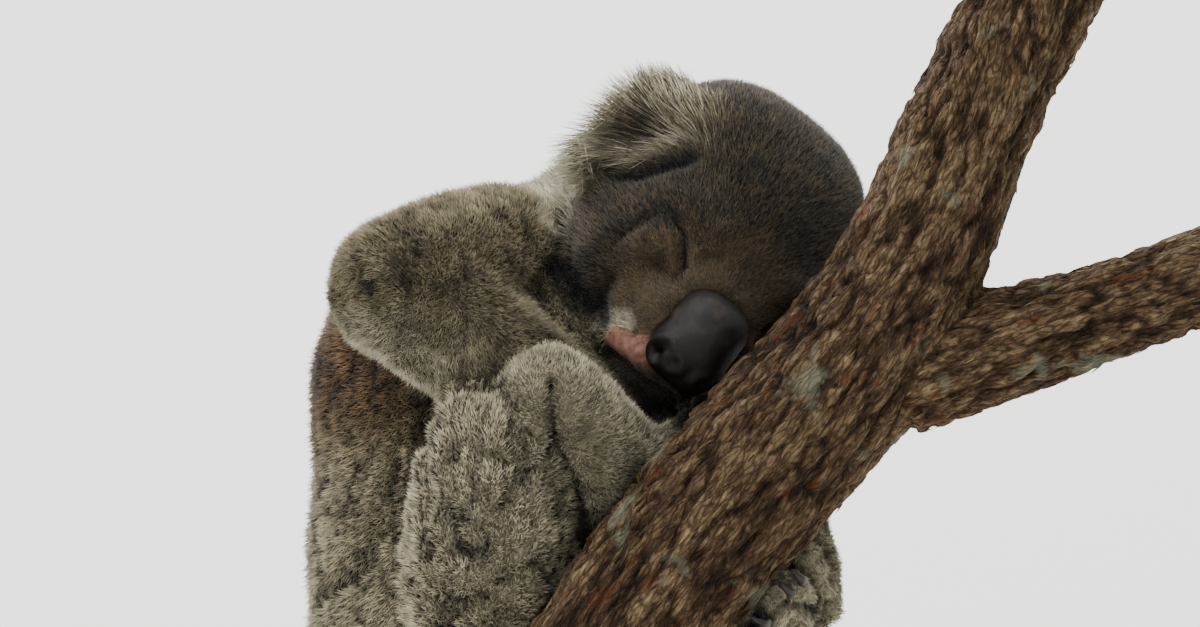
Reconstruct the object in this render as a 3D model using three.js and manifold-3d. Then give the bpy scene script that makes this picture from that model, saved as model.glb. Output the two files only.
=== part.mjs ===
// A koala asleep against a leaning gum trunk, life size, on a museum stand.
// Millimetres, +Z up. +X is the side the trunk leans to and -Y is the side the sleeper's face turns to.
// The origin is the middle of the stand base's underside.
import * as THREE from "three";
import { mergeVertices } from "three/addons/utils/BufferGeometryUtils.js";
import Module from "manifold-3d";

const wasm = await Module();
wasm.setup();

const point = (x, y, z) => new THREE.Vector3(x, y, z);
const radians = THREE.MathUtils.degToRad;

// ---------------------------------------------------------------- driving dimensions

const clearance = 0.3; // gap kept between pieces that touch
const seamWidth = 0.4; // thin cut that parts one stretch of the torso from the next
const tiny = 1e-6; // keeps a division away from nothing

// Stand: a flat base with two short rods.
const baseWidth = 440;
const baseDepth = 350;
const baseThickness = 18;
const baseCornerRadius = 45;
const baseBevel = 3;
const rodRadius = 9;
const rodSides = 12;
const rodHeight = 60;
const rodReach = 24; // how far a rod runs into the wood's outline before it is trimmed to fit
const rods = [
  { name: "stand_rod_front", at: point(-66, 0, 0) },
  { name: "stand_rod_back", at: point(-57, 140, 0) },
];
const poseSetForward = -62; // brings the weight over the middle of the base
const footHeight = 345; // of the point that the pose is measured from, over the foot of the stem
const poseHeight = baseThickness + rodHeight + footHeight;

// The perch: a leaning stem, the side limb above the head and the limb that the rump sits on.
const stem = [
  { at: point(-66, 0, -footHeight), radius: 50 },
  { at: point(-36, 0, -250), radius: 47 },
  { at: point(20, 0, -150), radius: 43 },
  { at: point(75, 0, -81), radius: 42 },
  { at: point(120, 0, -31), radius: 43 },
  { at: point(160, 0, 32), radius: 42 },
  { at: point(182, 0, 90), radius: 35 },
  { at: point(206, 0, 138), radius: 32 },
  { at: point(226, 0, 174), radius: 31 },
];
const sideLimb = [
  { at: point(150, 4, -30), radius: 31 },
  { at: point(190, 2, -18), radius: 28 },
  { at: point(245, 0, -2), radius: 25 },
  { at: point(312, 0, 22), radius: 24 },
];
const seatLimb = [
  { at: point(-58, 8, -312), radius: 38 },
  { at: point(-58, 80, -309), radius: 35 },
  { at: point(-56, 160, -300), radius: 32 },
  { at: point(-50, 226, -286), radius: 29 },
];

// The body, measured from a point beside the stem, level with the sleeper's nose.
const headCentre = point(49, 90, 29);
const headTurn = -76; // degrees from +X to the way the face points, seen from above
const headNod = 17; // degrees that the face looks below the level
const headTilt = -35; // degrees that the crown leans over to the sleeper's left

const torsoCentre = point(-52, 124, -108);
const torsoForms = [
  { at: point(-16, 118, -2), radii: point(84, 82, 74) }, // chest, from its right
  { at: point(-64, 128, -20), radii: point(90, 84, 74) }, // shoulder hump
  { at: torsoCentre, radii: point(102, 92, 96) },
  { at: point(-53, 134, -194), radii: point(103, 98, 88) }, // rump
];
const torsoTop = 120;
const chestBottom = -58;
const rumpTop = -150;
const torsoBottom = -320;
const neckForms = [
  { at: point(46, 130, 66), radii: point(60, 58, 60) }, // nape
  { at: point(-4, 130, 32), radii: point(72, 72, 52) }, // collar
];

// The head's own frame: +X out of the face, +Y to the sleeper's left, +Z to the crown.
const headForms = [
  { at: point(-12, 0, 20), radii: point(73, 66, 72) }, // cranium
  { at: point(-14, 20, 55), radii: point(46, 42, 42) }, // crown, left
  { at: point(-14, -20, 55), radii: point(46, 42, 42) }, // crown, right
  { at: point(4, 36, -8), radii: point(50, 39, 46) }, // cheek, left
  { at: point(4, -36, -8), radii: point(50, 39, 46) }, // cheek, right
  { at: point(46, 0, -26), radii: point(34, 30, 31) }, // muzzle
  { at: point(40, 0, -44), radii: point(34, 24, 20) }, // chin
  { at: point(14, 0, -44), radii: point(42, 36, 28) }, // throat
  { at: point(30, 26, 18), radii: point(30, 24, 22) }, // brow, left
  { at: point(30, -26, 18), radii: point(30, 24, 22) }, // brow, right
];
const noseForms = [
  { at: point(70, 7, -15), radii: point(13, 12, 13) }, // bridge, left
  { at: point(70, -7, -15), radii: point(13, 12, 13) }, // bridge, right
  { at: point(76, 0, -26), radii: point(13, 14, 17) }, // middle
  { at: point(75, 9, -38), radii: point(12, 13, 12) }, // wing, left
  { at: point(75, -9, -38), radii: point(12, 13, 12) }, // wing, right
];
const earTurn = 35; // degrees that each ear's hollow turns out from the face
const earForms = (side) => [
  { at: point(7, side * 63, 52), radii: point(18, 32, 28) }, // shell
  { at: point(8, side * 84, 22), radii: point(13, 18, 28) }, // long fringe below it
];

const right = {
  shoulder: point(-50, 86, 36),
  elbow: point(-101, 8, 13),
  wrist: point(8, 54, -62),
  hip: point(-50, 64, -174),
  thigh: point(-57, 18, -108),
  hollow: point(-56, 2, -68), // above the bend of the knee
  knee: point(-23, -14, -41),
  ankle: point(40, 62, -112),
};
const left = {
  shoulder: point(42, 160, 14),
  elbow: point(108, 182, -44),
  wrist: point(146, 92, -16),
  hip: point(16, 164, -174),
  thigh: point(46, 158, -122),
  hollow: point(66, 142, -84),
  knee: point(78, 128, -58),
  ankle: point(103, 66, -136),
};

const upperArmRadii = [42, 43, 40];
const forearmRadii = [38, 34, 25];
const forearmStart = 0.14; // share of the way from the elbow to the wrist
const rightLegRadii = { thigh: [54, 49, 38], shin: [28, 29, 31] }; // pressed wide against the stem
const leftLegRadii = { thigh: [50, 43, 34], shin: [31, 28, 24] };

// Hands and feet. A place on the stem is millimetres of walk up it and degrees round it from its front.
const wristRadius = 24;
const palmFlatness = 0.62; // a palm's thickness over its width
const hand = { palmRadius: 24, digitRadius: 8.5 };
const foot = { palmRadius: 26, digitRadius: 10 };
const palms = {
  rightHand: { walk: 288, angle: 218 },
  leftHand: { walk: 398, angle: 158 },
  rightFoot: { walk: 226, angle: 190 },
  leftFoot: { walk: 268, angle: 122 },
};

// Two thumbs reach round one way and three fingers the other. The first number of each is its root's
// place from the middle of the palm.
const handDigits = (turn) => [
  { walk: 14, angle: 0, reach: 26, around: turn * 4 },
  { walk: 10, angle: turn * 12, reach: 22, around: turn * 18 },
  { walk: -2, angle: turn * 18, reach: 8, around: turn * 30 },
  { walk: -14, angle: turn * 12, reach: -14, around: turn * 24 },
  { walk: 0, angle: -turn * 16, reach: 22, around: -turn * 6 },
];

// The big toe has no claw. The second and third toes share one sheath, which ends in two claws.
// `grip` is how much of their full way round the stem the toes reach.
const footDigits = (turn, grip) => [
  { walk: 12, angle: turn * 6, reach: 14, around: turn * grip * 26, clawCount: 0 },
  { walk: 4, angle: turn * 16, reach: 2, around: turn * grip * 30, clawCount: 2 },
  { walk: -9, angle: turn * 16, reach: -8, around: turn * grip * 32 },
  { walk: -20, angle: turn * 10, reach: -16, around: turn * grip * 28 },
];

// Along a digit: share of its reach, and height off the bark and radius over the digit's radius.
const toeStations = [
  { share: 0, lift: 1.1, radius: 1.15 },
  { share: 0.55, lift: 1.3, radius: 1.05 },
  { share: 1, lift: 0.85, radius: 0.85 },
];
const clawStations = [
  { share: 1.06, lift: 1.15, radius: 0.38 },
  { share: 1.34, lift: 1.25, radius: 0.27 },
  { share: 1.55, lift: 0.35, radius: 0.09 },
];
const twinClawGap = 9; // between the middles of the two claws of a shared sheath

// ---------------------------------------------------------------- finishes

const finish = (color, roughness) => new THREE.MeshStandardMaterial({ color, roughness, metalness: 0 });
const fur = finish(0x7c7666, 0.95);
const paleFur = finish(0x9a968a, 0.95);
const headFur = finish(0x625a4a, 0.95);
const noseSkin = finish(0x1d1a18, 0.45);
const clawHorn = finish(0x2a241f, 0.4);
const bark = finish(0x5b4634, 0.9);
const standWood = finish(0xd8d4cc, 0.5);
const standSteel = finish(0x55585a, 0.4);

// ---------------------------------------------------------------- shape helpers

/** Rough distance of a place from an ellipsoid's surface, negative inside. */
function ellipsoidDistance({ at, radii, unturn }, place) {
  const scaled = place.clone().sub(at).applyQuaternion(unturn).divide(radii);
  const steepness = scaled.clone().divide(radii).length();
  const reach = scaled.length();
  return (reach * (reach - 1)) / Math.max(steepness, tiny);
}

/** Distance from the smooth union of ellipsoids, whose joints are rounded over about `softness`. */
function unionDistance(forms, place, softness) {
  const pull = forms.reduce((sum, each) => sum + Math.exp(-ellipsoidDistance(each, place) / softness), 0);
  return -softness * Math.log(pull);
}

/** A ball whose skin is pushed out along each ray from `centre` to the smooth union of ellipsoids. */
function sculpt({ centre, forms, softness, detail, turn = 0, grow = 0 }) {
  const unturn = new THREE.Quaternion().setFromEuler(new THREE.Euler(0, 0, -radians(turn)));
  const turned = forms.map((each) => ({ ...each, unturn }));
  const geometry = new THREE.IcosahedronGeometry(1, detail);
  const positions = geometry.getAttribute("position");
  const ray = new THREE.Vector3();
  const farthest = 400;
  const halvings = 26;
  for (let i = 0; i < positions.count; i += 1) {
    ray.fromBufferAttribute(positions, i).normalize();
    let inside = 0;
    let outside = farthest;
    for (let step = 0; step < halvings; step += 1) {
      const middle = (inside + outside) / 2;
      const place = centre.clone().addScaledVector(ray, middle);
      if (unionDistance(turned, place, softness) < 0) inside = middle;
      else outside = middle;
    }
    const skin = centre.clone().addScaledVector(ray, inside + grow);
    positions.setXYZ(i, skin.x, skin.y, skin.z);
  }
  return geometry;
}

/** Smooth value at `share` (0 to 1) of a list of evenly spread values. */
function spread(values, share) {
  const line = values.map((value, i) => point(i, value, 0));
  return new THREE.CatmullRomCurve3(line).getPoint(share).y;
}

/**
 * A limb along a smooth path, from stations that hold a place, a radius and, where the section is
 * flattened, the share of that radius that it has along `up`. Its ends are round or sawn off flat.
 */
function limb(stations, { up = point(0, 0, 1), sides = 8, rows = 7, sawn = false, grow = 0 } = {}) {
  const path = new THREE.CatmullRomCurve3(stations.map(({ at }) => at), false, "centripetal");
  const radii = stations.map(({ radius }) => radius);
  const flats = stations.map(({ flat = 1 }) => flat);
  const length = path.getLength();
  const firstCap = sawn ? 0 : radii[0] + grow;
  const lastCap = sawn ? 0 : radii[radii.length - 1] + grow;
  const geometry = new THREE.SphereGeometry(1, sides, rows);
  const positions = geometry.getAttribute("position");
  for (let i = 0; i < positions.count; i += 1) {
    const angle = (2 * Math.PI * (i % (sides + 1))) / sides;
    const row = Math.floor(i / (sides + 1));
    const evenShare = THREE.MathUtils.clamp((row - 1) / (rows - 2), 0, 1);
    const easedShare = (1 - Math.cos((Math.PI * row) / rows)) / 2;
    const walked = (sawn ? evenShare : easedShare) * (length + firstCap + lastCap) - firstCap;
    const along = THREE.MathUtils.clamp(walked / length, 0, 1);
    const beyond = walked - along * length;
    const cap = beyond < 0 ? firstCap : lastCap;
    const dome = cap > 0 ? Math.sqrt(Math.max(0, 1 - (beyond / cap) ** 2)) : 1;
    const width = row === 0 || row === rows ? 0 : dome;
    const tangent = path.getTangentAt(along);
    const across = new THREE.Vector3().crossVectors(up, tangent).normalize();
    const above = new THREE.Vector3().crossVectors(tangent, across);
    const radius = spread(radii, along);
    const place = path.getPointAt(along).addScaledVector(tangent, beyond);
    place.addScaledVector(across, -width * (radius + grow) * Math.cos(angle));
    place.addScaledVector(above, width * (radius * spread(flats, along) + grow) * Math.sin(angle));
    positions.setXYZ(i, place.x, place.y, place.z);
  }
  return geometry;
}

/** A closed geometry as a solid that can be joined and cut. */
function solid(geometry) {
  const bare = geometry.clone();
  bare.deleteAttribute("normal");
  bare.deleteAttribute("uv");
  const merged = mergeVertices(bare);
  return new wasm.Manifold(
    new wasm.Mesh({
      numProp: 3,
      vertProperties: merged.getAttribute("position").array,
      triVerts: new Uint32Array(merged.index.array),
    }),
  );
}

/** A solid's faceted skin. */
function geometryOf(shape) {
  const { vertProperties, triVerts } = shape.getMesh();
  const geometry = new THREE.BufferGeometry();
  geometry.setAttribute("position", new THREE.BufferAttribute(vertProperties, 3));
  geometry.setIndex(new THREE.BufferAttribute(triVerts, 1));
  return geometry;
}

const joined = (shapes) => shapes.reduce((whole, shape) => whole.add(shape));

// ---------------------------------------------------------------- head

const headGroup = new THREE.Group();
headGroup.position.copy(headCentre);
headGroup.rotation.set(radians(headTilt), radians(headNod), radians(headTurn), "ZYX");
headGroup.updateMatrixWorld(true);

/** A sculpted form given in the head's own frame. */
function headForm(options) {
  return (grow) => solid(sculpt({ ...options, grow }).applyMatrix4(headGroup.matrixWorld));
}

const headShape = headForm({ centre: point(8, 0, 0), forms: headForms, softness: 7, detail: 4 });
const noseShape = headForm({ centre: point(72, 0, -26), forms: noseForms, softness: 4, detail: 2 });
const earShape = (side) =>
  headForm({
    centre: point(8, side * 68, 46),
    forms: earForms(side),
    turn: side * earTurn,
    softness: 5,
    detail: 2,
  });

// ---------------------------------------------------------------- torso and neck

const torsoShape = (grow) =>
  solid(sculpt({ centre: torsoCentre, forms: torsoForms, softness: 12, detail: 3, grow }));
const neckShape = (grow) =>
  solid(sculpt({ centre: point(14, 130, 40), forms: neckForms, softness: 12, detail: 3, grow }));

/** The part of a shape between two heights. */
function slice(shape, low, high) {
  const reach = 600;
  const block = new THREE.BoxGeometry(reach, reach, high - low).translate(0, 0, (high + low) / 2);
  return (grow) => shape(grow).intersect(solid(block));
}

// ---------------------------------------------------------------- arms and legs

const towards = (from, to, share) => from.clone().lerp(to, share);
const limbShape = (stations, options = {}) => (grow) => solid(limb(stations, { ...options, grow }));

/** Stations for a limb's stretch, from its places and its radii. */
const stationsOf = (places, radii) => places.map((at, i) => ({ at, radius: radii[i] }));

const arm = ({ shoulder, elbow, wrist }) => ({
  upper: limbShape(stationsOf([shoulder, towards(shoulder, elbow, 0.5), elbow], upperArmRadii)),
  fore: limbShape(
    stationsOf([towards(elbow, wrist, forearmStart), towards(elbow, wrist, 0.5), wrist], forearmRadii),
  ),
});

const leg = ({ hip, thigh, hollow, knee, ankle }, radii) => ({
  thigh: limbShape(stationsOf([hip, thigh, hollow], radii.thigh)),
  shin: limbShape(stationsOf([knee, towards(knee, ankle, 0.5), ankle], radii.shin)),
});

// ---------------------------------------------------------------- hands and feet

const stemPath = new THREE.CatmullRomCurve3(stem.map(({ at }) => at), false, "centripetal");
const stemLength = stemPath.getLength();
const stemRadii = stem.map(({ radius }) => radius);

/** A place on the stem: `walk` up it, `angle` round it from its front by its right, `lift` off its bark. */
function onStem({ walk, angle, lift }) {
  const share = walk / stemLength;
  const along = stemPath.getTangentAt(share);
  const front = point(0, -1, 0);
  const side = new THREE.Vector3().crossVectors(along, front);
  const out = front.multiplyScalar(Math.cos(radians(angle))).addScaledVector(side, Math.sin(radians(angle)));
  const nearest = Math.round(share * (stem.length - 1));
  return stemPath.getPointAt(share).addScaledVector(out, spread(stemRadii, share) + lift);
}

/** The way off the bark at a place on the stem. */
const offBark = (place) => onStem({ ...place, lift: 1 }).sub(onStem({ ...place, lift: 0 }));

/** A digit that lies on the stem from one place to another, and the claws at its tip. */
function digit({ from, to, digitRadius, clawCount }) {
  const stations = (list, shift) =>
    list.map(({ share, lift, radius }) => {
      const walk = THREE.MathUtils.lerp(from.walk, to.walk, share) + shift;
      const angle = THREE.MathUtils.lerp(from.angle, to.angle, share);
      return { at: onStem({ walk, angle, lift: lift * digitRadius }), radius: radius * digitRadius };
    });
  const up = offBark(to);
  const shifts = Array.from({ length: clawCount }, (_, i) => (i - (clawCount - 1) / 2) * twinClawGap);
  return {
    toe: limbShape(stations(toeStations, 0), { up, sides: 5, rows: 3 }),
    claws: shifts.map((shift) => limbShape(stations(clawStations, shift), { up, sides: 4, rows: 4 })),
  };
}

/** A hand or foot: a flattened palm from the wrist or ankle onto the stem, with its digits. */
function paw({ wrist, palm, palmRadius, digitRadius, digits }) {
  const middle = onStem({ ...palm, lift: palmRadius * palmFlatness });
  const palmShape = limbShape(
    [
      { at: towards(wrist, middle, 0.25), radius: wristRadius, flat: 0.85 },
      { at: middle, radius: palmRadius, flat: palmFlatness },
    ],
    { up: offBark(palm), sides: 7, rows: 5 },
  );
  const made = digits.map(({ walk, angle, reach, around, clawCount = 1 }) => {
    const from = { walk: palm.walk + walk, angle: palm.angle + angle };
    const to = { walk: from.walk + reach, angle: from.angle + around };
    return digit({ from, to, digitRadius, clawCount });
  });
  return {
    shape: (grow) => joined([palmShape(grow), ...made.map(({ toe }) => toe(grow))]),
    claws: made.flatMap(({ claws }) => claws),
  };
}

const hands = {
  right: paw({ ...hand, wrist: right.wrist, palm: palms.rightHand, digits: handDigits(-1) }),
  left: paw({ ...hand, wrist: left.wrist, palm: palms.leftHand, digits: handDigits(1) }),
};
const feet = {
  right: paw({ ...foot, wrist: right.ankle, palm: palms.rightFoot, digits: footDigits(-1, 1) }),
  left: paw({ ...foot, wrist: left.ankle, palm: palms.leftFoot, digits: footDigits(-1, 0.62) }),
};

// ---------------------------------------------------------------- perch and stand

const sawnLimb = (stations, up, rows) => limbShape(stations, { up, rows, sides: 12, sawn: true });
const stemShape = sawnLimb(stem, point(0, 1, 0), 15);
const sideLimbShape = sawnLimb(sideLimb, point(0, 1, 0), 8);
const seatLimbShape = sawnLimb(seatLimb, point(0, 0, 1), 8);

/** A rounded flat plate whose underside is the floor's level. */
function standBase() {
  const halfWidth = baseWidth / 2 - baseBevel;
  const halfDepth = baseDepth / 2 - baseBevel;
  const corner = baseCornerRadius - baseBevel;
  const outline = new THREE.Shape();
  outline.absarc(halfWidth - corner, halfDepth - corner, corner, 0, Math.PI / 2);
  outline.absarc(corner - halfWidth, halfDepth - corner, corner, Math.PI / 2, Math.PI);
  outline.absarc(corner - halfWidth, corner - halfDepth, corner, Math.PI, 1.5 * Math.PI);
  outline.absarc(halfWidth - corner, corner - halfDepth, corner, 1.5 * Math.PI, 2 * Math.PI);
  const geometry = new THREE.ExtrudeGeometry(outline, {
    depth: baseThickness - 2 * baseBevel,
    bevelThickness: baseBevel,
    bevelSize: baseBevel,
    bevelSegments: 1,
    curveSegments: 4,
  });
  const mesh = new THREE.Mesh(geometry, standWood);
  mesh.name = "stand_base";
  mesh.position.z = baseBevel;
  return mesh;
}

/** A straight rod from just above the base up to the wood over it. */
function standRod(name, at) {
  const top = baseThickness + rodHeight + rodReach;
  const bottom = baseThickness + clearance;
  const rod = new THREE.CylinderGeometry(rodRadius, rodRadius, top - bottom, rodSides);
  rod.rotateX(Math.PI / 2).translate(at.x, at.y + poseSetForward, (top + bottom) / 2);
  const wood = joined([stemShape(clearance), seatLimbShape(clearance)]);
  const cut = solid(rod).subtract(wood.translate(0, poseSetForward, poseHeight));
  const mesh = new THREE.Mesh(geometryOf(cut), standSteel);
  mesh.name = name;
  return mesh;
}

// ---------------------------------------------------------------- assembly

const rightArm = arm(right);
const leftArm = arm(left);
const rightLeg = leg(right, rightLegRadii);
const leftLeg = leg(left, leftLegRadii);

const claws = (name, { claws: shapes }) =>
  shapes.map((shape, i) => ({ name: `${name}_claw_${i + 1}`, material: clawHorn, shape }));

// In this order: each piece is cut back by those before it, less the clearance.
const pieces = [
  { name: "perch_stem", material: bark, shape: stemShape },
  { name: "perch_side_limb", material: bark, shape: sideLimbShape },
  { name: "perch_seat_limb", material: bark, shape: seatLimbShape },
  { name: "nose_pad", material: noseSkin, shape: noseShape, group: headGroup },
  { name: "ear_right", material: paleFur, shape: earShape(-1), group: headGroup },
  { name: "ear_left", material: paleFur, shape: earShape(1), group: headGroup },
  { name: "head", material: headFur, shape: headShape, group: headGroup },
  ...claws("hand_right", hands.right),
  ...claws("hand_left", hands.left),
  ...claws("foot_right", feet.right),
  ...claws("foot_left", feet.left),
  { name: "hand_right", material: paleFur, shape: hands.right.shape },
  { name: "hand_left", material: paleFur, shape: hands.left.shape },
  { name: "foot_right", material: paleFur, shape: feet.right.shape },
  { name: "foot_left", material: paleFur, shape: feet.left.shape },
  { name: "arm_right_upper", material: fur, shape: rightArm.upper },
  { name: "arm_right_fore", material: fur, shape: rightArm.fore },
  { name: "arm_left_upper", material: fur, shape: leftArm.upper },
  { name: "arm_left_fore", material: fur, shape: leftArm.fore },
  { name: "leg_right_shin", material: paleFur, shape: rightLeg.shin },
  { name: "leg_right_thigh", material: paleFur, shape: rightLeg.thigh },
  { name: "leg_left_shin", material: paleFur, shape: leftLeg.shin },
  { name: "leg_left_thigh", material: paleFur, shape: leftLeg.thigh },
  { name: "neck", material: fur, shape: neckShape },
  { name: "chest", material: fur, shape: slice(torsoShape, chestBottom + seamWidth, torsoTop) },
  { name: "belly", material: fur, shape: slice(torsoShape, rumpTop + seamWidth, chestBottom) },
  { name: "rump", material: fur, shape: slice(torsoShape, torsoBottom, rumpTop) },
];

const pose = new THREE.Group();
pose.position.set(0, poseSetForward, poseHeight);
pose.add(headGroup);
headGroup.updateMatrixWorld(true);

const stand = new THREE.Group();
stand.add(standBase());
for (const { name, at } of rods) stand.add(standRod(name, at));

const whole = [];
for (const { name, material, shape, group = pose } of pieces) {
  let body = shape(0);
  for (const earlier of whole) body = body.subtract(earlier);
  whole.push(shape(clearance));
  const mesh = new THREE.Mesh(geometryOf(body), material);
  mesh.name = name;
  if (group === headGroup) mesh.geometry.applyMatrix4(headGroup.matrix.clone().invert());
  group.add(mesh);
}

const model = new THREE.Group();
model.add(pose, stand);

export default model;
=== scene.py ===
"""Looks of a life-size koala asleep against a leaning gum trunk, on a museum stand.

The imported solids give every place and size. One skin replaces the solids of flesh and lies inside them
by the depth of the coat, and tufts of fur grow from it out to their surface. The cut trunk gets its bark,
and the stand its turned and planed pieces. Everything is in metres. Sizes in millimetres are turned by MM.
"""

from __future__ import annotations

import itertools
import logging
import math
from dataclasses import dataclass, field
from enum import Enum

import bmesh
import bpy
import numpy as np
from mathutils import Matrix, Vector
from mathutils.bvhtree import BVHTree


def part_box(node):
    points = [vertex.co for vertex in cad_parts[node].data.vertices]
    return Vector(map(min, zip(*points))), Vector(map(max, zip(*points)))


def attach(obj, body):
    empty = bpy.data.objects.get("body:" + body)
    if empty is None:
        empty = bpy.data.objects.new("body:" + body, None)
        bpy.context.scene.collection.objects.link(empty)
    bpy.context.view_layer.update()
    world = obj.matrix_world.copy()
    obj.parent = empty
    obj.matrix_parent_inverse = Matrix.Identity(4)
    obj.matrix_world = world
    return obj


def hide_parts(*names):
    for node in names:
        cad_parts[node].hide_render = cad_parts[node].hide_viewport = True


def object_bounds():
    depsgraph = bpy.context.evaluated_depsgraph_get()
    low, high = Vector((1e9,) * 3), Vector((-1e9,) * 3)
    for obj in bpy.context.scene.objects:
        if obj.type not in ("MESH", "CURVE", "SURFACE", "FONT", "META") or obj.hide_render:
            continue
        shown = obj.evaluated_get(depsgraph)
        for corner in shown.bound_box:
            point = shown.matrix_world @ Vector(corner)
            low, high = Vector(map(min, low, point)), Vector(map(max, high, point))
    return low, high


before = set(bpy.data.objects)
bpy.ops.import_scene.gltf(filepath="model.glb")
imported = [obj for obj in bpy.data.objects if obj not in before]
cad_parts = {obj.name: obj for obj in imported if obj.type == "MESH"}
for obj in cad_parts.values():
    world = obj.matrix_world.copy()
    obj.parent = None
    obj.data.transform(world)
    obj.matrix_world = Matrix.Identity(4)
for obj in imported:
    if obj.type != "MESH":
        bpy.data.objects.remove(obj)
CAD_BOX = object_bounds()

log = logging.getLogger("koala")

MM = 0.001
TINY = 1e-9
BODY = "root"
Array = np.ndarray


# ---------------------------------------------------------------- numbers


def unit(vectors: Array) -> Array:
    """Vectors with their lengths made one."""
    return vectors / np.maximum(np.linalg.norm(vectors, axis=-1, keepdims=True), TINY)


def smoothstep(low: float, high: float, values: Array) -> Array:
    """Values eased from 0 at low to 1 at high."""
    share = np.clip((values - low) / (high - low), 0.0, 1.0)
    return share * share * (3.0 - 2.0 * share)


def blend(first: Array, second: Array, share: Array) -> Array:
    """The first values where share is 0, the second where it is 1."""
    return first + (second - first) * share


def tangent(vectors: Array, normals: Array) -> Array:
    """The part of each vector that lies along the surface."""
    return vectors - normals * np.sum(vectors * normals, axis=-1, keepdims=True)


def lattice(cells: Array, seed: int) -> Array:
    """Random numbers from 0 to 1 fixed by whole-number cells.

    Args:
        cells: Whole numbers, three to a row.
        seed: Which set of random numbers.

    Returns:
        One number to a row.
    """
    mixed = cells[..., 0] * 73856093 ^ cells[..., 1] * 19349663 ^ cells[..., 2] * 83492791 ^ seed * 7919
    mixed = (mixed ^ (mixed >> 13)) * 1274126177
    mixed = (mixed ^ (mixed >> 16)) * 668265263
    return ((mixed >> 8) & 0xFFFF) / 0xFFFF


def noise(places: Array, size: float, seed: int, octaves: int = 1) -> Array:
    """Smooth noise, about -1 to 1, whose largest lumps are about `size` across.

    Args:
        places: Points, three numbers to a row.
        size: Width of the largest lumps, in the unit of the places.
        seed: Which noise.
        octaves: How many layers, each half the size and strength of the last.

    Returns:
        One value to a row.
    """
    total = np.zeros(len(places))
    for octave in range(octaves):
        cells = places / size * 2.0**octave
        base = np.floor(cells).astype(np.int64)
        share = cells - base
        share = share * share * (3.0 - 2.0 * share)
        for corner in itertools.product((0, 1), repeat=3):
            weight = np.prod(np.where(corner, share, 1.0 - share), axis=1)
            total += weight * (lattice(base + corner, seed + octave) * 2.0 - 1.0) / 2.0**octave
    return total


def nearest_jittered(places: Array, size: float, seed: int) -> tuple[Array, Array]:
    """The nearest of a cloud of scattered points, one in each cell of a grid.

    Args:
        places: Points, three numbers to a row.
        size: Width of a cell.
        seed: Which scatter.

    Returns:
        The nearest scattered point, and a random number from 0 to 1 that belongs to it.
    """
    base = np.floor(places / size).astype(np.int64)
    best = np.full(len(places), np.inf)
    centres = np.zeros_like(places)
    values = np.zeros(len(places))
    for step in itertools.product((-1, 0, 1), repeat=3):
        cell = base + step
        jitter = np.stack([lattice(cell, seed + axis) for axis in range(3)], axis=1)
        centre = (cell + jitter) * size
        gap = np.sum((centre - places) ** 2, axis=1)
        nearer = gap < best
        best = np.where(nearer, gap, best)
        centres[nearer] = centre[nearer]
        values[nearer] = lattice(cell, seed + 3)[nearer]
    return centres, values


# ---------------------------------------------------------------- meshes


def places_of(mesh: bpy.types.Mesh) -> Array:
    """A mesh's vertex places, three numbers to a row."""
    flat = np.empty(len(mesh.vertices) * 3, np.float32)
    mesh.vertices.foreach_get("co", flat)
    return flat.reshape(-1, 3).astype(float)


def set_places(mesh: bpy.types.Mesh, places: Array) -> None:
    """Moves a mesh's vertices to these places."""
    mesh.vertices.foreach_set("co", places.astype(np.float32).ravel())
    mesh.update()


def normals_of(mesh: bpy.types.Mesh) -> Array:
    """A mesh's vertex normals, three numbers to a row."""
    flat = np.empty(len(mesh.vertices) * 3, np.float32)
    mesh.vertex_normals.foreach_get("vector", flat)
    return flat.reshape(-1, 3).astype(float)


def edges_of(mesh: bpy.types.Mesh) -> Array:
    """A mesh's edges as pairs of vertex numbers."""
    flat = np.empty(len(mesh.edges) * 2, np.int32)
    mesh.edges.foreach_get("vertices", flat)
    return flat.reshape(-1, 2)


def set_attribute(mesh: bpy.types.Mesh, name: str, values: Array) -> None:
    """Stores one number, or one vector, for each vertex under a name that materials can read."""
    kind, key = ("FLOAT", "value") if values.ndim == 1 else ("FLOAT_VECTOR", "vector")
    attribute = mesh.attributes.new(name, kind, "POINT")
    attribute.data.foreach_set(key, values.astype(np.float32).ravel())


def smoothed(values: Array, edges: Array, rounds: int, strength: float = 0.5) -> Array:
    """Values averaged with those of neighbouring vertices, over and over.

    Args:
        values: One row to a vertex.
        edges: Pairs of vertex numbers.
        rounds: How many times the averaging runs.
        strength: Share of the neighbours' average that each round takes.

    Returns:
        The smoothed values.
    """
    count = len(values)
    table = values.reshape(count, -1).astype(float)
    degree = np.maximum(np.bincount(edges.ravel(), minlength=count), 1)
    for _ in range(rounds):
        for column in range(table.shape[1]):
            line = table[:, column]
            total = np.bincount(edges[:, 0], line[edges[:, 1]], count)
            total += np.bincount(edges[:, 1], line[edges[:, 0]], count)
            table[:, column] = blend(line, total / degree, strength)
    return table.reshape(values.shape)


def centre_of(node: str) -> Array:
    """The middle of a CAD node's box."""
    low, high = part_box(node)
    return (np.array(low) + np.array(high)) / 2.0


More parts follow.
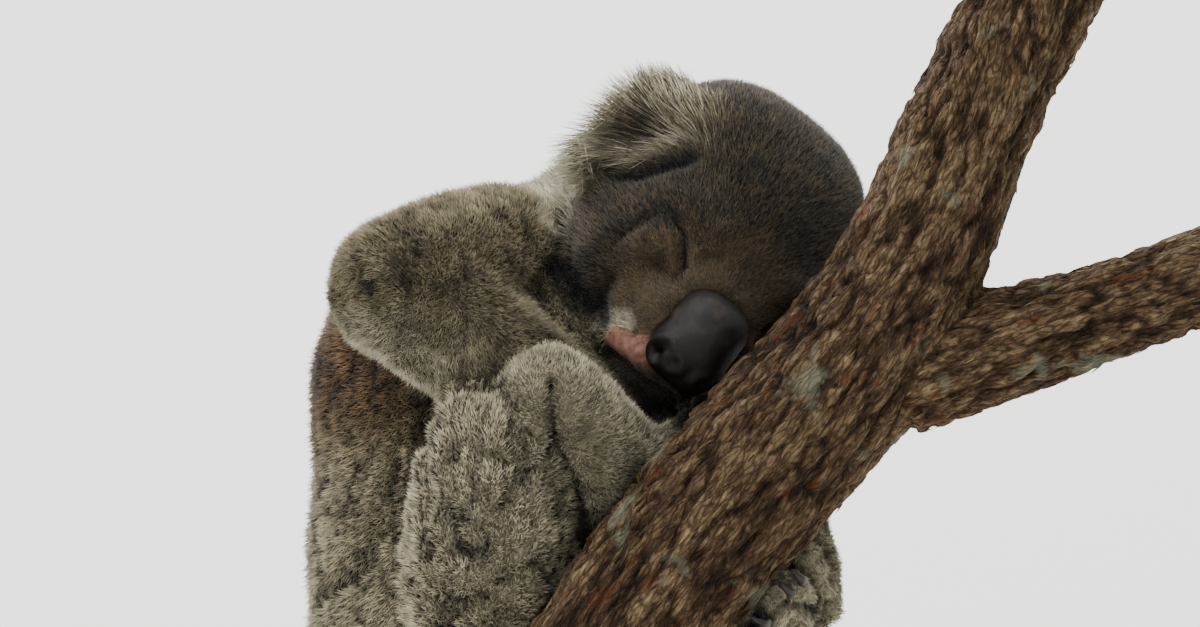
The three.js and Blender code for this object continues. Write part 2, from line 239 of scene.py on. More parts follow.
def joined_copy(name: str, nodes: list[str], swell: float) -> bpy.types.Object:
    """One object from copies of CAD nodes, each swollen a little so that neighbours meet.

    Args:
        name: Name of the new object.
        nodes: The CAD nodes to copy.
        swell: How far each copy's surface moves out.

    Returns:
        The new object, linked to the scene.
    """
    whole = bmesh.new()
    for node in nodes:
        part = bmesh.new()
        part.from_mesh(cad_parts[node].data)
        bmesh.ops.remove_doubles(part, verts=part.verts, dist=0.01 * MM)
        part.normal_update()
        for vertex in part.verts:
            vertex.co += vertex.normal * swell
        copy = bpy.data.meshes.new(name)
        part.to_mesh(copy)
        part.free()
        whole.from_mesh(copy)
        bpy.data.meshes.remove(copy)
    mesh = bpy.data.meshes.new(name)
    whole.to_mesh(mesh)
    whole.free()
    piece = bpy.data.objects.new(name, mesh)
    bpy.context.scene.collection.objects.link(piece)
    return piece


def remesh(piece: bpy.types.Object, voxel: float) -> None:
    """Rebuilds an object's mesh as one closed skin of even faces."""
    modifier = piece.modifiers.new("Remesh", "REMESH")
    modifier.mode = "VOXEL"
    modifier.voxel_size = voxel
    ready = piece.evaluated_get(bpy.context.evaluated_depsgraph_get())
    old = piece.data
    piece.data = bpy.data.meshes.new_from_object(ready)
    piece.modifiers.clear()
    bpy.data.meshes.remove(old)


def shade_smooth(mesh: bpy.types.Mesh) -> None:
    """Turns smooth shading on for every face."""
    mesh.polygons.foreach_set("use_smooth", np.ones(len(mesh.polygons), bool))


def dress(piece: bpy.types.Object, material: bpy.types.Material) -> None:
    """Gives a finished piece its material and the body that it rides on."""
    piece.data.materials.clear()
    piece.data.materials.append(material)
    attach(piece, BODY)


# ---------------------------------------------------------------- the head's own frame


@dataclass(frozen=True)
class HeadFrame:
    """The sleeper's head: +X out of the face, +Y to its left, +Z to its crown, in millimetres."""

    turn: float = -76.0
    nod: float = 17.0
    tilt: float = -35.0
    nose: tuple[float, float, float] = (73.0, -0.5, -26.6)

    def axes(self) -> Array:
        """The head's axes as columns, in the model's frame."""
        turns = [(self.turn, "Z"), (self.nod, "Y"), (self.tilt, "X")]
        turned = Matrix.Identity(3)
        for degrees, axis in turns:
            turned = turned @ Matrix.Rotation(math.radians(degrees), 3, axis)
        return np.array(turned)

    def origin(self) -> Array:
        """The middle of the head, worked back from the nose pad's place."""
        return centre_of("nose_pad") - self.axes() @ np.array(self.nose) * MM

    def seen_from(self, places: Array) -> Array:
        """Places given in the model's frame, turned into the head's."""
        return (places - self.origin()) @ self.axes() / MM

    def out(self, places: Array) -> Array:
        """Places given in the head's frame, turned into the model's."""
        return np.asarray(places) @ self.axes().T * MM + self.origin()

    def turned_out(self, directions: Array) -> Array:
        """Directions given in the head's frame, turned into the model's."""
        return np.asarray(directions) @ self.axes().T


HEAD = HeadFrame()


def near_line(places: Array, points: list[tuple[float, float, float]]) -> Array:
    """Distance of each place from a line through points.

    Args:
        places: Points, three numbers to a row.
        points: The corners of the line, in the same unit.

    Returns:
        One distance to a row.
    """
    best = np.full(len(places), np.inf)
    for start, end in itertools.pairwise(np.array(points, float)):
        along = end - start
        share = np.clip((places - start) @ along / (along @ along), 0.0, 1.0)
        best = np.minimum(best, np.linalg.norm(places - start - share[:, None] * along, axis=1))
    return best


def bump(places: Array, centre: tuple[float, float, float], radii: tuple[float, float, float]) -> Array:
    """A soft hill: 1 at the centre, fading to nothing past the radii."""
    reach = np.sum(((places - np.array(centre)) / np.array(radii)) ** 2, axis=1)
    return np.exp(-reach)


# ---------------------------------------------------------------- shader helpers


Colour = tuple[float, float, float, float]


def linear(code: str) -> Colour:
    """An sRGB hex colour as linear red, green, blue and alpha."""
    shares = [int(code[i : i + 2], 16) / 255.0 for i in (1, 3, 5)]
    turned = [s / 12.92 if s <= 0.04045 else ((s + 0.055) / 1.055) ** 2.4 for s in shares]
    return (*turned, 1.0)


def add_node(tree: bpy.types.NodeTree, kind: str, inputs: dict | None = None, **settings) -> bpy.types.Node:
    """Adds a node with its settings, values and links.

    Args:
        tree: The material's node tree.
        kind: The node's type, without its "ShaderNode" start.
        inputs: Socket names or numbers, each with a value or with the socket that feeds it.
        **settings: The node's own properties.

    Returns:
        The new node.
    """
    node = tree.nodes.new("ShaderNode" + kind)
    for name, value in settings.items():
        setattr(node, name, value)
    for name, value in (inputs or {}).items():
        if isinstance(value, bpy.types.NodeSocket):
            tree.links.new(value, node.inputs[name])
        else:
            node.inputs[name].default_value = value
    return node


def ramp(node: bpy.types.Node, stops: list[tuple[float, Colour]]) -> bpy.types.Node:
    """Sets the colours of a colour ramp.

    Args:
        node: The colour ramp node.
        stops: Places from 0 to 1 and their colours.

    Returns:
        The same node.
    """
    elements = node.color_ramp.elements
    while len(elements) < len(stops):
        elements.new(1.0)
    for element, (place, colour) in zip(elements, stops):
        element.position = place
        element.color = colour
    return node


def new_material(name: str) -> tuple[bpy.types.Material, bpy.types.NodeTree, bpy.types.Node]:
    """A material with nodes, its tree and its Principled shader."""
    material = bpy.data.materials.new(name)
    material.use_nodes = True
    tree = material.node_tree
    return material, tree, tree.nodes["Principled BSDF"]


# ---------------------------------------------------------------- finishes


class Fibre(Enum):
    """The colours that a koala's hairs have, as root and tip."""

    GREY_BROWN = ("#383024", "#8f8468")
    PALE_GREY = ("#5a5444", "#b2aa90")
    FACE_BROWN = ("#16110b", "#5f4e37")
    RUST = ("#281a0f", "#6f4f2f")
    CREAM = ("#787059", "#d9d2b8")
    BLACK = ("#050403", "#1d1812")


@dataclass(frozen=True)
class Fur:
    """Koala wool: dense hairs, dark at the root and pale at the tip, that scatter light at their edges."""

    name: str = "koala_fur"
    roughness: float = 0.85
    sheen: float = 0.12
    mottle: float = 12.0 * MM
    speckle: float = 2.4 * MM

    def material(self) -> bpy.types.Material:
        """Builds the material. It reads the markings and the share along each hair from the mesh."""
        material, tree, shader = new_material(self.name)
        shares = {key: add_node(tree, "Attribute", attribute_name=key).outputs["Fac"] for key in MARKINGS}
        coordinates = add_node(tree, "TexCoord").outputs["Object"]
        # Wool is mottled in patches of a locks' width, from hairs that part and show their dark roots.
        patches = add_node(
            tree,
            "TexNoise",
            {"Vector": coordinates, "Scale": 1.0 / self.mottle, "Detail": 3.0, "Roughness": 0.6},
        ).outputs["Fac"]
        speckles = add_node(
            tree, "TexNoise", {"Vector": coordinates, "Scale": 1.0 / self.speckle, "Detail": 1.0}
        ).outputs["Fac"]
        colours = {}
        for end in (0, 1):
            colour = linear(Fibre.GREY_BROWN.value[end])
            for key, fibre in MARKINGS.items():
                if fibre is None:
                    continue
                mixed = add_node(
                    tree,
                    "Mix",
                    {"Factor": shares[key], 6: colour, 7: linear(fibre.value[end])},
                    data_type="RGBA",
                )
                colour = mixed.outputs[2]
            colours[end] = colour
        along = add_node(tree, "MapRange", {"Value": shares["tip"], "From Min": 0.0, "From Max": 0.8})
        hair = add_node(
            tree,
            "Mix",
            {"Factor": along.outputs["Result"], 6: colours[0], 7: colours[1]},
            data_type="RGBA",
        )
        mottled = add_node(tree, "Math", {0: speckles, 1: 0.6, 2: patches}, operation="MULTIPLY_ADD")
        # The shade attribute lightens or darkens each hair: random differences, with painted shade and
        # painted highlight from the skin's fields.
        lightness = add_node(tree, "Math", {0: mottled.outputs[0], 1: shares["shade"]}, operation="ADD")
        brightness = add_node(
            tree,
            "MapRange",
            {"Value": lightness.outputs[0], "From Min": 0.3, "From Max": 1.3, "To Min": 0.3, "To Max": 1.75},
            clamp=False,
        )
        dyed = add_node(
            tree,
            "HueSaturation",
            {"Color": hair.outputs[2], "Value": brightness.outputs["Result"]},
        )
        tree.links.new(dyed.outputs["Color"], shader.inputs["Base Color"])
        shader.inputs["Roughness"].default_value = self.roughness
        shader.inputs["Specular IOR Level"].default_value = 0.25
        shader.inputs["Sheen Weight"].default_value = self.sheen
        shader.inputs["Sheen Roughness"].default_value = 0.5
        return material


# Each marking's share is stored on skin and coat alike, and says how far a fibre replaces the last. Black
# also serves as painted shade and painted shadow, and shade holds painted shade besides the tufts' random
# differences.
MARKINGS: dict[str, Fibre | None] = {
    "paleness": Fibre.PALE_GREY,
    "rust": Fibre.RUST,
    "darkness": Fibre.FACE_BROWN,
    "cream": Fibre.CREAM,
    "black": Fibre.BLACK,
    "tip": None,
    "shade": None,
}


@dataclass(frozen=True)
class Hide:
    """The skin under the coat: the coat's own colours as a short felt, and bare pink skin, or near-black in
    the eye's slit, which is partly dark lid skin and partly painted shade.
    """

    name: str = "koala_hide"

    def material(self) -> bpy.types.Material:
        """Builds the material. Bare skin shows where the mesh says that nothing grows."""
        material = Fur(name=self.name, sheen=0.08).material()
        tree = material.node_tree
        shader = tree.nodes["Principled BSDF"]
        coat = shader.inputs["Base Color"].links[0].from_socket
        pink = add_node(tree, "Attribute", attribute_name="pink").outputs["Fac"]
        bare = add_node(tree, "Attribute", attribute_name="bare").outputs["Fac"]
        coordinates = add_node(tree, "TexCoord").outputs["Object"]
        blotches = add_node(
            tree, "TexNoise", {"Vector": coordinates, "Scale": 260.0, "Detail": 4.0}
        ).outputs["Fac"]
        lip = ramp(
            add_node(tree, "ValToRGB", {"Fac": blotches}),
            [(0.3, linear("#5c3e34")), (0.7, linear("#8f6658"))],
        )
        # Near-black for the eye's slit: partly dark lid skin, partly painted shade in the crease.
        hide = ramp(
            add_node(tree, "ValToRGB", {"Fac": blotches}),
            [(0.3, linear("#0d0908")), (0.7, linear("#2a1d18"))],
        )
        dark = add_node(tree, "Mix", {"Factor": bare, 6: coat, 7: hide.outputs["Color"]}, data_type="RGBA")
        flesh = add_node(
            tree, "Mix", {"Factor": pink, 6: dark.outputs[2], 7: lip.outputs["Color"]}, data_type="RGBA"
        )
        tree.links.new(flesh.outputs[2], shader.inputs["Base Color"])
        # Felted under-fur, about half a millimetre to a hair's clump.
        felt = add_node(
            tree, "TexNoise", {"Vector": coordinates, "Scale": 1800.0, "Detail": 2.0}
        ).outputs["Fac"]
        rough = add_node(tree, "Bump", {"Height": felt, "Strength": 0.5, "Distance": 0.4 * MM})
        tree.links.new(rough.outputs["Normal"], shader.inputs["Normal"])
        return material


@dataclass(frozen=True)
class NoseLeather:
    """Bare nose skin: black, grained in rounded pebbles under a millimetre, with a soft damp gloss, and
    painted shade in its nostrils and towards its underside.
    """

    name: str = "nose_leather"
    pebble: float = 0.55 * MM

    def material(self) -> bpy.types.Material:
        """Builds the material."""
        material, tree, shader = new_material(self.name)
        coordinates = add_node(tree, "TexCoord").outputs["Object"]
        cells = add_node(
            tree, "TexVoronoi", {"Vector": coordinates, "Scale": 1.0 / self.pebble}, feature="F1"
        ).outputs["Distance"]
        clouds = add_node(
            tree, "TexNoise", {"Vector": coordinates, "Scale": 90.0, "Detail": 5.0}
        ).outputs["Fac"]
        tone = ramp(
            add_node(tree, "ValToRGB", {"Fac": clouds}),
            [(0.3, linear("#0a0807")), (0.55, linear("#1c1816")), (0.8, linear("#3a322d"))],
        )
        # Painted shade read from the mesh: the nostrils' pits and the pad's underside go near-black.
        pit = add_node(tree, "Attribute", attribute_name="nostril_shade").outputs["Fac"]
        dark = add_node(
            tree, "Mix", {"Factor": pit, 6: tone.outputs["Color"], 7: linear("#020101")}, data_type="RGBA"
        )
        tree.links.new(dark.outputs[2], shader.inputs["Base Color"])
        gloss = add_node(
            tree,
            "MapRange",
            {"Value": clouds, "From Min": 0.3, "From Max": 0.7, "To Min": 0.46, "To Max": 0.66},
        )
        tree.links.new(gloss.outputs["Result"], shader.inputs["Roughness"])
        grain = add_node(tree, "Bump", {"Height": cells, "Strength": 0.7, "Distance": 0.22 * MM}, invert=True)
        tree.links.new(grain.outputs["Normal"], shader.inputs["Normal"])
        shader.inputs["IOR"].default_value = 1.36
        return material


@dataclass(frozen=True)
class ClawHorn:
    """Keratin: dark brown horn, streaked along its length."""

    name: str = "claw_keratin"

    def material(self) -> bpy.types.Material:
        """Builds the material."""
        material, tree, shader = new_material(self.name)
        coordinates = add_node(tree, "TexCoord").outputs["Object"]
        streaks = add_node(
            tree, "TexNoise", {"Vector": coordinates, "Scale": 420.0, "Detail": 3.0}
        ).outputs["Fac"]
        tone = ramp(
            add_node(tree, "ValToRGB", {"Fac": streaks}),
            [(0.3, linear("#0b0806")), (0.7, linear("#231a14"))],
        )
        tree.links.new(tone.outputs["Color"], shader.inputs["Base Color"])
        scratches = add_node(tree, "Bump", {"Height": streaks, "Strength": 0.2, "Distance": 0.2 * MM})
        tree.links.new(scratches.outputs["Normal"], shader.inputs["Normal"])
        shader.inputs["Roughness"].default_value = 0.5
        shader.inputs["IOR"].default_value = 1.5
        return material


@dataclass(frozen=True)
class GumBark:
    """Rough fibrous gum bark: dark red-brown in its furrows, paler on its ridges, with pale lichen; the
    furrows' dark is partly painted shade and the ridges' pale partly painted highlight.
    """

    name: str = "gum_bark"
    strand: float = 1.9 * MM
    flake: float = 2.6 * MM
    tear: float = 4.5 * MM
    ring: float = 2.2 * MM
    waver: float = 9.0 * MM
    heart_core: float = 8.0 * MM
    heart_edge: float = 30.0 * MM

    def material(self) -> bpy.types.Material:
        """Builds the material. Its strands follow the limb through the mesh's own bark places."""
        material, tree, shader = new_material(self.name)
        grain = add_node(tree, "Attribute", attribute_name="bark_place").outputs["Vector"]
        height = add_node(tree, "Attribute", attribute_name="bark_height").outputs["Fac"]
        sawn = add_node(tree, "Attribute", attribute_name="sawn").outputs["Fac"]
        radius = add_node(tree, "Attribute", attribute_name="radius").outputs["Fac"]
        coordinates = add_node(tree, "TexCoord").outputs["Object"]
        strands = add_node(
            tree, "TexNoise", {"Vector": grain, "Scale": 1.0 / self.strand, "Detail": 7.0, "Roughness": 0.78}
        ).outputs["Fac"]
        # The flakes' edges are torn, so their places wander before the cells are drawn.
        wander = add_node(tree, "TexNoise", {"Vector": grain, "Scale": 0.6 / self.flake, "Detail": 5.0})
        torn = add_node(
            tree,
            "VectorMath",
            {0: wander.outputs["Color"], 1: (self.tear,) * 3, 2: grain},
            operation="MULTIPLY_ADD",
        ).outputs["Vector"]
        flakes = add_node(tree, "TexVoronoi", {"Vector": torn, "Scale": 1.0 / self.flake}, feature="F1")
        seams = add_node(
            tree, "TexVoronoi", {"Vector": torn, "Scale": 1.0 / self.flake}, feature="DISTANCE_TO_EDGE"
        ).outputs["Distance"]
        seam = add_node(tree, "MapRange", {"Value": seams, "From Max": 0.2}).outputs["Result"]
        patches = add_node(tree, "TexNoise", {"Vector": grain, "Scale": 130.0, "Detail": 4.0}).outputs["Fac"]
        lichen = add_node(
            tree, "TexNoise", {"Vector": coordinates, "Scale": 22.0, "Detail": 5.0}
        ).outputs["Fac"]
        # Each flake has its own weathering, and the seams between flakes are nearly black. The bark's height
        # darkens the furrows and pales the ridges, partly the bark's own colour and partly painted shade and
        # painted highlight.
        own = add_node(tree, "SeparateColor", {"Color": flakes.outputs["Color"]}).outputs["Red"]
        tinted = add_node(tree, "Math", {0: own, 1: 0.2, 2: height}, operation="MULTIPLY_ADD").outputs[0]
        fibred = add_node(tree, "Math", {0: strands, 1: 1.35, 2: tinted}, operation="MULTIPLY_ADD").outputs[0]
        raised = add_node(tree, "Math", {0: seam, 1: 0.17, 2: fibred}, operation="MULTIPLY_ADD").outputs[0]
        spread_out = add_node(tree, "MapRange", {"Value": raised, "From Min": 0.7, "From Max": 1.85})
        tone = ramp(
            add_node(tree, "ValToRGB", {"Fac": spread_out.outputs["Result"]}),
            [
                (0.0, linear("#0a0603")),
                (0.25, linear("#1e130b")),
                (0.45, linear("#38281a")),
                (0.62, linear("#54402c")),
                (0.8, linear("#786349")),
                (1.0, linear("#a18b69")),
            ],
        )
        # Freshly shed flakes leave orange-red streaks, and old ridges carry pale lichen.
        red = add_node(
            tree, "MapRange", {"Value": patches, "From Min": 0.62, "From Max": 0.68, "To Max": 0.4}
        )
        ruddy = add_node(
            tree,
            "Mix",
            {"Factor": red.outputs["Result"], 6: tone.outputs["Color"], 7: linear("#6e3616")},
            data_type="RGBA",
        )
        spots = add_node(
            tree, "MapRange", {"Value": lichen, "From Min": 0.62, "From Max": 0.67, "To Max": 0.5}
        )
        weathered = add_node(
            tree,
            "Mix",
            {"Factor": spots.outputs["Result"], 6: ruddy.outputs[2], 7: linear("#8d917c")},
            data_type="RGBA",
        )
        # Sawn ends: uneven year rings round a darker heart, split by a few drying cracks.
        uneven = add_node(tree, "TexNoise", {"Vector": grain, "Scale": 45.0, "Detail": 2.0}).outputs["Fac"]
        wavered = add_node(
            tree, "Math", {0: uneven, 1: self.waver, 2: radius}, operation="MULTIPLY_ADD"
        ).outputs[0]
        turns = add_node(tree, "Math", {0: wavered, 1: math.tau / self.ring}, operation="MULTIPLY").outputs[0]
        rings = add_node(tree, "Math", {0: turns}, operation="SINE").outputs[0]
        banded = add_node(tree, "Math", {0: rings, 1: 0.14, 2: uneven}, operation="MULTIPLY_ADD").outputs[0]
        growth = ramp(
            add_node(tree, "ValToRGB", {"Fac": banded}),
            [(0.25, linear("#6d4c33")), (0.75, linear("#a9875f"))],
        )
        fading = {
            "Value": wavered,
            "From Min": self.heart_core,
            "From Max": self.heart_edge,
            "To Min": 0.6,
            "To Max": 0.0,
        }
        heart = add_node(tree, "MapRange", fading).outputs["Result"]
        hearted = add_node(
            tree, "Mix", {"Factor": heart, 6: growth.outputs["Color"], 7: linear("#5a3523")}, data_type="RGBA"
        )
        flat = add_node(tree, "Mapping", {"Vector": grain, "Scale": (1.0, 1.0, 0.0)}).outputs["Vector"]
        spoke = add_node(tree, "VectorMath", {0: flat}, operation="NORMALIZE").outputs["Vector"]
        spread = add_node(tree, "TexNoise", {"Vector": spoke, "Scale": 2.6, "Detail": 2.0}).outputs["Fac"]
        split = add_node(tree, "Math", {0: spread, 1: 0.5, 2: 0.006}, operation="COMPARE").outputs[0]
        end_grain = add_node(
            tree, "Mix", {"Factor": split, 6: hearted.outputs[2], 7: linear("#24150d")}, data_type="RGBA"
        )
        whole = add_node(
            tree,
            "Mix",
            {"Factor": sawn, 6: weathered.outputs[2], 7: end_grain.outputs[2]},
            data_type="RGBA",
        )
        tree.links.new(whole.outputs[2], shader.inputs["Base Color"])
        layered = add_node(tree, "Math", {0: seam, 1: 0.7, 2: strands}, operation="MULTIPLY_ADD").outputs[0]
        rough = add_node(tree, "Bump", {"Height": layered, "Strength": 1.0, "Distance": 3.0 * MM})
        tree.links.new(rough.outputs["Normal"], shader.inputs["Normal"])
        shader.inputs["Roughness"].default_value = 0.9
        shader.inputs["Specular IOR Level"].default_value = 0.2
        return material


@dataclass(frozen=True)
class OiledTimber:
    """Planed hardwood board with a satin oil: straight figure along X, and fine pores."""

    name: str = "oiled_hardwood"
    figure: float = 7.0 * MM

    def material(self) -> bpy.types.Material:
        """Builds the material."""
        material, tree, shader = new_material(self.name)
        coordinates = add_node(tree, "TexCoord").outputs["Object"]
        stretched = add_node(
            tree, "Mapping", {"Vector": coordinates, "Scale": (0.08, 1.0, 1.0)}
        ).outputs["Vector"]
        figure = add_node(
            tree,
            "TexNoise",
            {"Vector": stretched, "Scale": 1.0 / self.figure, "Detail": 4.0, "Distortion": 0.6},
        ).outputs["Fac"]
        pores = add_node(
            tree, "TexNoise", {"Vector": stretched, "Scale": 1400.0, "Detail": 2.0}
        ).outputs["Fac"]
        tone = ramp(
            add_node(tree, "ValToRGB", {"Fac": figure}),
            [(0.3, linear("#8a6242")), (0.5, linear("#a97e57")), (0.7, linear("#c0976c"))],
        )
        dark = add_node(tree, "MapRange", {"Value": pores, "From Min": 0.6, "From Max": 0.72, "To Max": 0.5})
        pored = add_node(
            tree,
            "Mix",
            {"Factor": dark.outputs["Result"], 6: tone.outputs["Color"], 7: linear("#5d3f29")},
            data_type="RGBA",
        )
        tree.links.new(pored.outputs[2], shader.inputs["Base Color"])
        bump = {"Height": pores, "Strength": 0.15, "Distance": 0.2 * MM}
        grain = add_node(tree, "Bump", bump, invert=True)
        tree.links.new(grain.outputs["Normal"], shader.inputs["Normal"])
        shader.inputs["Roughness"].default_value = 0.42
        shader.inputs["Coat Weight"].default_value = 0.15
        shader.inputs["Coat Roughness"].default_value = 0.3
        return material


@dataclass(frozen=True)
class BrushedSteel:
    """Stainless rod, brushed round its axis, so its gloss runs in fine rings."""

    name: str = "brushed_stainless_steel"
    line: float = 0.6 * MM

    def material(self) -> bpy.types.Material:
        """Builds the material."""
        material, tree, shader = new_material(self.name)
        coordinates = add_node(tree, "TexCoord").outputs["Object"]
        squeezed = add_node(
            tree, "Mapping", {"Vector": coordinates, "Scale": (0.03, 0.03, 1.0)}
        ).outputs["Vector"]
        lines = add_node(
            tree, "TexNoise", {"Vector": squeezed, "Scale": 1.0 / self.line, "Detail": 3.0}
        ).outputs["Fac"]
        tone = ramp(
            add_node(tree, "ValToRGB", {"Fac": lines}),
            [(0.3, linear("#8f9193")), (0.7, linear("#b9babb"))],
        )
        tree.links.new(tone.outputs["Color"], shader.inputs["Base Color"])
        gloss = add_node(tree, "MapRange", {"Value": lines, "To Min": 0.24, "To Max": 0.42})
        tree.links.new(gloss.outputs["Result"], shader.inputs["Roughness"])
        shader.inputs["Metallic"].default_value = 1.0
        return material


# ---------------------------------------------------------------- studio


@dataclass
class Studio:
    """A pale floor under a pale sky, a broad soft light above and behind, and a weak one in front."""

    look_at: Vector = field(default_factory=lambda: Vector((0.0, -0.062, 0.423)))
    distance: float = 3.0
    elevation: float = -5.0
    lens: float = 180.0
    sky: str = "#e9ebe8"
    sky_front: float = 0.3
    sky_back: float = 3.1
    bright_side: tuple[float, float, float] = (-0.1, 0.7, 0.7)

    def build(self) -> None:
        """Makes the floor, the sky, the lights and the camera."""
        self.floor()
        self.world()
        self.light("back_light", Vector((-0.8, 1.2, 1.9)), 1.2, 52.0)
        self.light("front_light", Vector((-0.7, -1.3, 2.2)), 0.8, 38.0)
        self.camera()

    def floor(self) -> None:
        """A wide pale floor at the stand's level."""
        shape = bmesh.new()
        bmesh.ops.create_grid(shape, x_segments=1, y_segments=1, size=30.0)
        mesh = bpy.data.meshes.new("floor")
        shape.to_mesh(mesh)
        shape.free()
        floor = bpy.data.objects.new("floor", mesh)
        bpy.context.scene.collection.objects.link(floor)
        floor.location.z = CAD_BOX[0].z - 0.2 * MM
        material, _, shader = new_material("pale_floor_paint")
        shader.inputs["Base Color"].default_value = linear("#d9d9d6")
        shader.inputs["Roughness"].default_value = 0.7
        mesh.materials.append(material)

    def world(self) -> None:
        """A pale sky, brighter above and behind the sleeper than in front."""
        world = bpy.data.worlds.new("pale_sky")
        world.use_nodes = True
        tree = world.node_tree
        sky = tree.nodes["Background"]
        sky.inputs["Color"].default_value = linear(self.sky)
        direction = add_node(tree, "TexCoord").outputs["Generated"]
        facing = add_node(tree, "VectorMath", {0: direction, 1: self.bright_side}, operation="DOT_PRODUCT")
        strength = add_node(
            tree,
            "MapRange",
            {
                "Value": facing.outputs["Value"],
                "From Min": -0.5,
                "From Max": 0.8,
                "To Min": self.sky_front,
                "To Max": self.sky_back,
            },
        )
        tree.links.new(strength.outputs["Result"], sky.inputs["Strength"])
        bpy.context.scene.world = world

    def light(self, name: str, place: Vector, size: float, power: float) -> None:
        """A square soft light that faces the sleeper.

        Args:
            name: The light's name.
            place: Where it stands.
            size: Its width.
            power: Its power in watts.
        """
        lamp = bpy.data.lights.new(name, "AREA")
        lamp.size = size
        lamp.energy = power
        holder = bpy.data.objects.new(name, lamp)
        holder.location = place
        holder.rotation_euler = (self.look_at - place).to_track_quat("-Z", "Y").to_euler()
        bpy.context.scene.collection.objects.link(holder)

    def camera_place(self) -> Vector:
        """Where the camera stands."""
        tilt = math.radians(self.elevation)
        return self.look_at + Vector((0.0, -math.cos(tilt), math.sin(tilt))) * self.distance

    def camera(self) -> None:
        """A long lens, a little below the sleeper and looking slightly up."""
        place = self.camera_place()
        data = bpy.data.cameras.new("camera")
        data.lens = self.lens
        data.sensor_width = 36.0
        camera = bpy.data.objects.new("camera", data)
        camera.location = place
        camera.rotation_euler = (self.look_at - place).to_track_quat("-Z", "Y").to_euler()
        bpy.context.scene.collection.objects.link(camera)
        bpy.context.scene.camera = camera


STUDIO = Studio()


# ---------------------------------------------------------------- how the coat grows


@dataclass(frozen=True)
class Growth:
    """How the coat grows on one part of the body. Lengths are in millimetres.

    The hairs lie away from the middle of the node named by `upstream`. `lift` is 0 for a coat that lies
    flat and 1 for one that stands straight out. `gather` is how far the tips of a lock draw together, and
    `wool` is the depth of the folds that the wool breaks into.
    """

    upstream: str
    length: float
    width: float
    lift: float
    density: float
    gather: float
    wool: float = 0.0
    paleness: float = 0.0
    rust: float = 0.0
    darkness: float = 0.0
    cream: float = 0.0


GROWTHS: dict[str, Growth] = {
    "head": Growth("nose_pad", 5.0, 0.62, 0.5, 1.52, 0.25, darkness=0.95),
    "ear_right": Growth("head", 20.0, 0.55, 0.3, 1.0, 0.35, paleness=0.1),
    "ear_left": Growth("head", 20.0, 0.7, 0.3, 0.65, 0.35, paleness=0.1),
    "neck": Growth("head", 9.0, 0.85, 0.55, 0.95, 0.4, wool=0.6, darkness=0.5),
    "chest": Growth("neck", 7.5, 1.0, 0.62, 0.74, 0.45, wool=1.8, paleness=0.25),
    "belly": Growth("neck", 7.5, 1.0, 0.62, 0.76, 0.5, wool=2.6, paleness=0.65),
    "rump": Growth("chest", 7.5, 1.1, 0.6, 0.62, 0.5, wool=3.0, paleness=0.9),
    "arm_right_upper": Growth("neck", 7.0, 0.7, 0.6, 1.5, 0.3, wool=0.9, paleness=0.1),
    "arm_right_fore": Growth("arm_right_upper", 7.0, 0.7, 0.6, 1.5, 0.3, wool=0.7, paleness=0.3),
    "arm_left_upper": Growth("neck", 7.5, 0.95, 0.55, 0.7, 0.3, wool=0.8, paleness=0.1),
    "arm_left_fore": Growth("arm_left_upper", 7.5, 0.95, 0.55, 0.7, 0.3, wool=0.8, paleness=0.3),
    "leg_right_thigh": Growth("rump", 7.0, 0.95, 0.62, 0.98, 0.5, wool=3.1, paleness=0.9),
    "leg_right_shin": Growth("leg_right_thigh", 5.5, 0.7, 0.6, 1.15, 0.25, wool=0.8, paleness=1.0),
    "leg_left_thigh": Growth("rump", 7.5, 1.0, 0.65, 0.7, 0.45, wool=3.0, paleness=0.7),
    "leg_left_shin": Growth("leg_left_thigh", 5.0, 0.8, 0.45, 0.95, 0.25, wool=0.6, paleness=1.0),
    "hand_right": Growth("arm_right_fore", 5.0, 0.75, 0.45, 0.95, 0.3, paleness=0.8),
    "hand_left": Growth("arm_left_fore", 5.0, 0.75, 0.45, 0.95, 0.3, paleness=0.8),
    "foot_right": Growth("leg_right_shin", 5.0, 0.75, 0.45, 0.85, 0.3, paleness=0.8),
    "foot_left": Growth("leg_left_shin", 4.2, 0.55, 0.35, 1.8, 0.3, paleness=0.9),
}
FLESH = list(GROWTHS)
FIELDS = ("length", "width", "lift", "density", "gather", "wool", "paleness", "rust", "darkness", "cream")
EARS = {"ear_right": -1.0, "ear_left": 1.0}


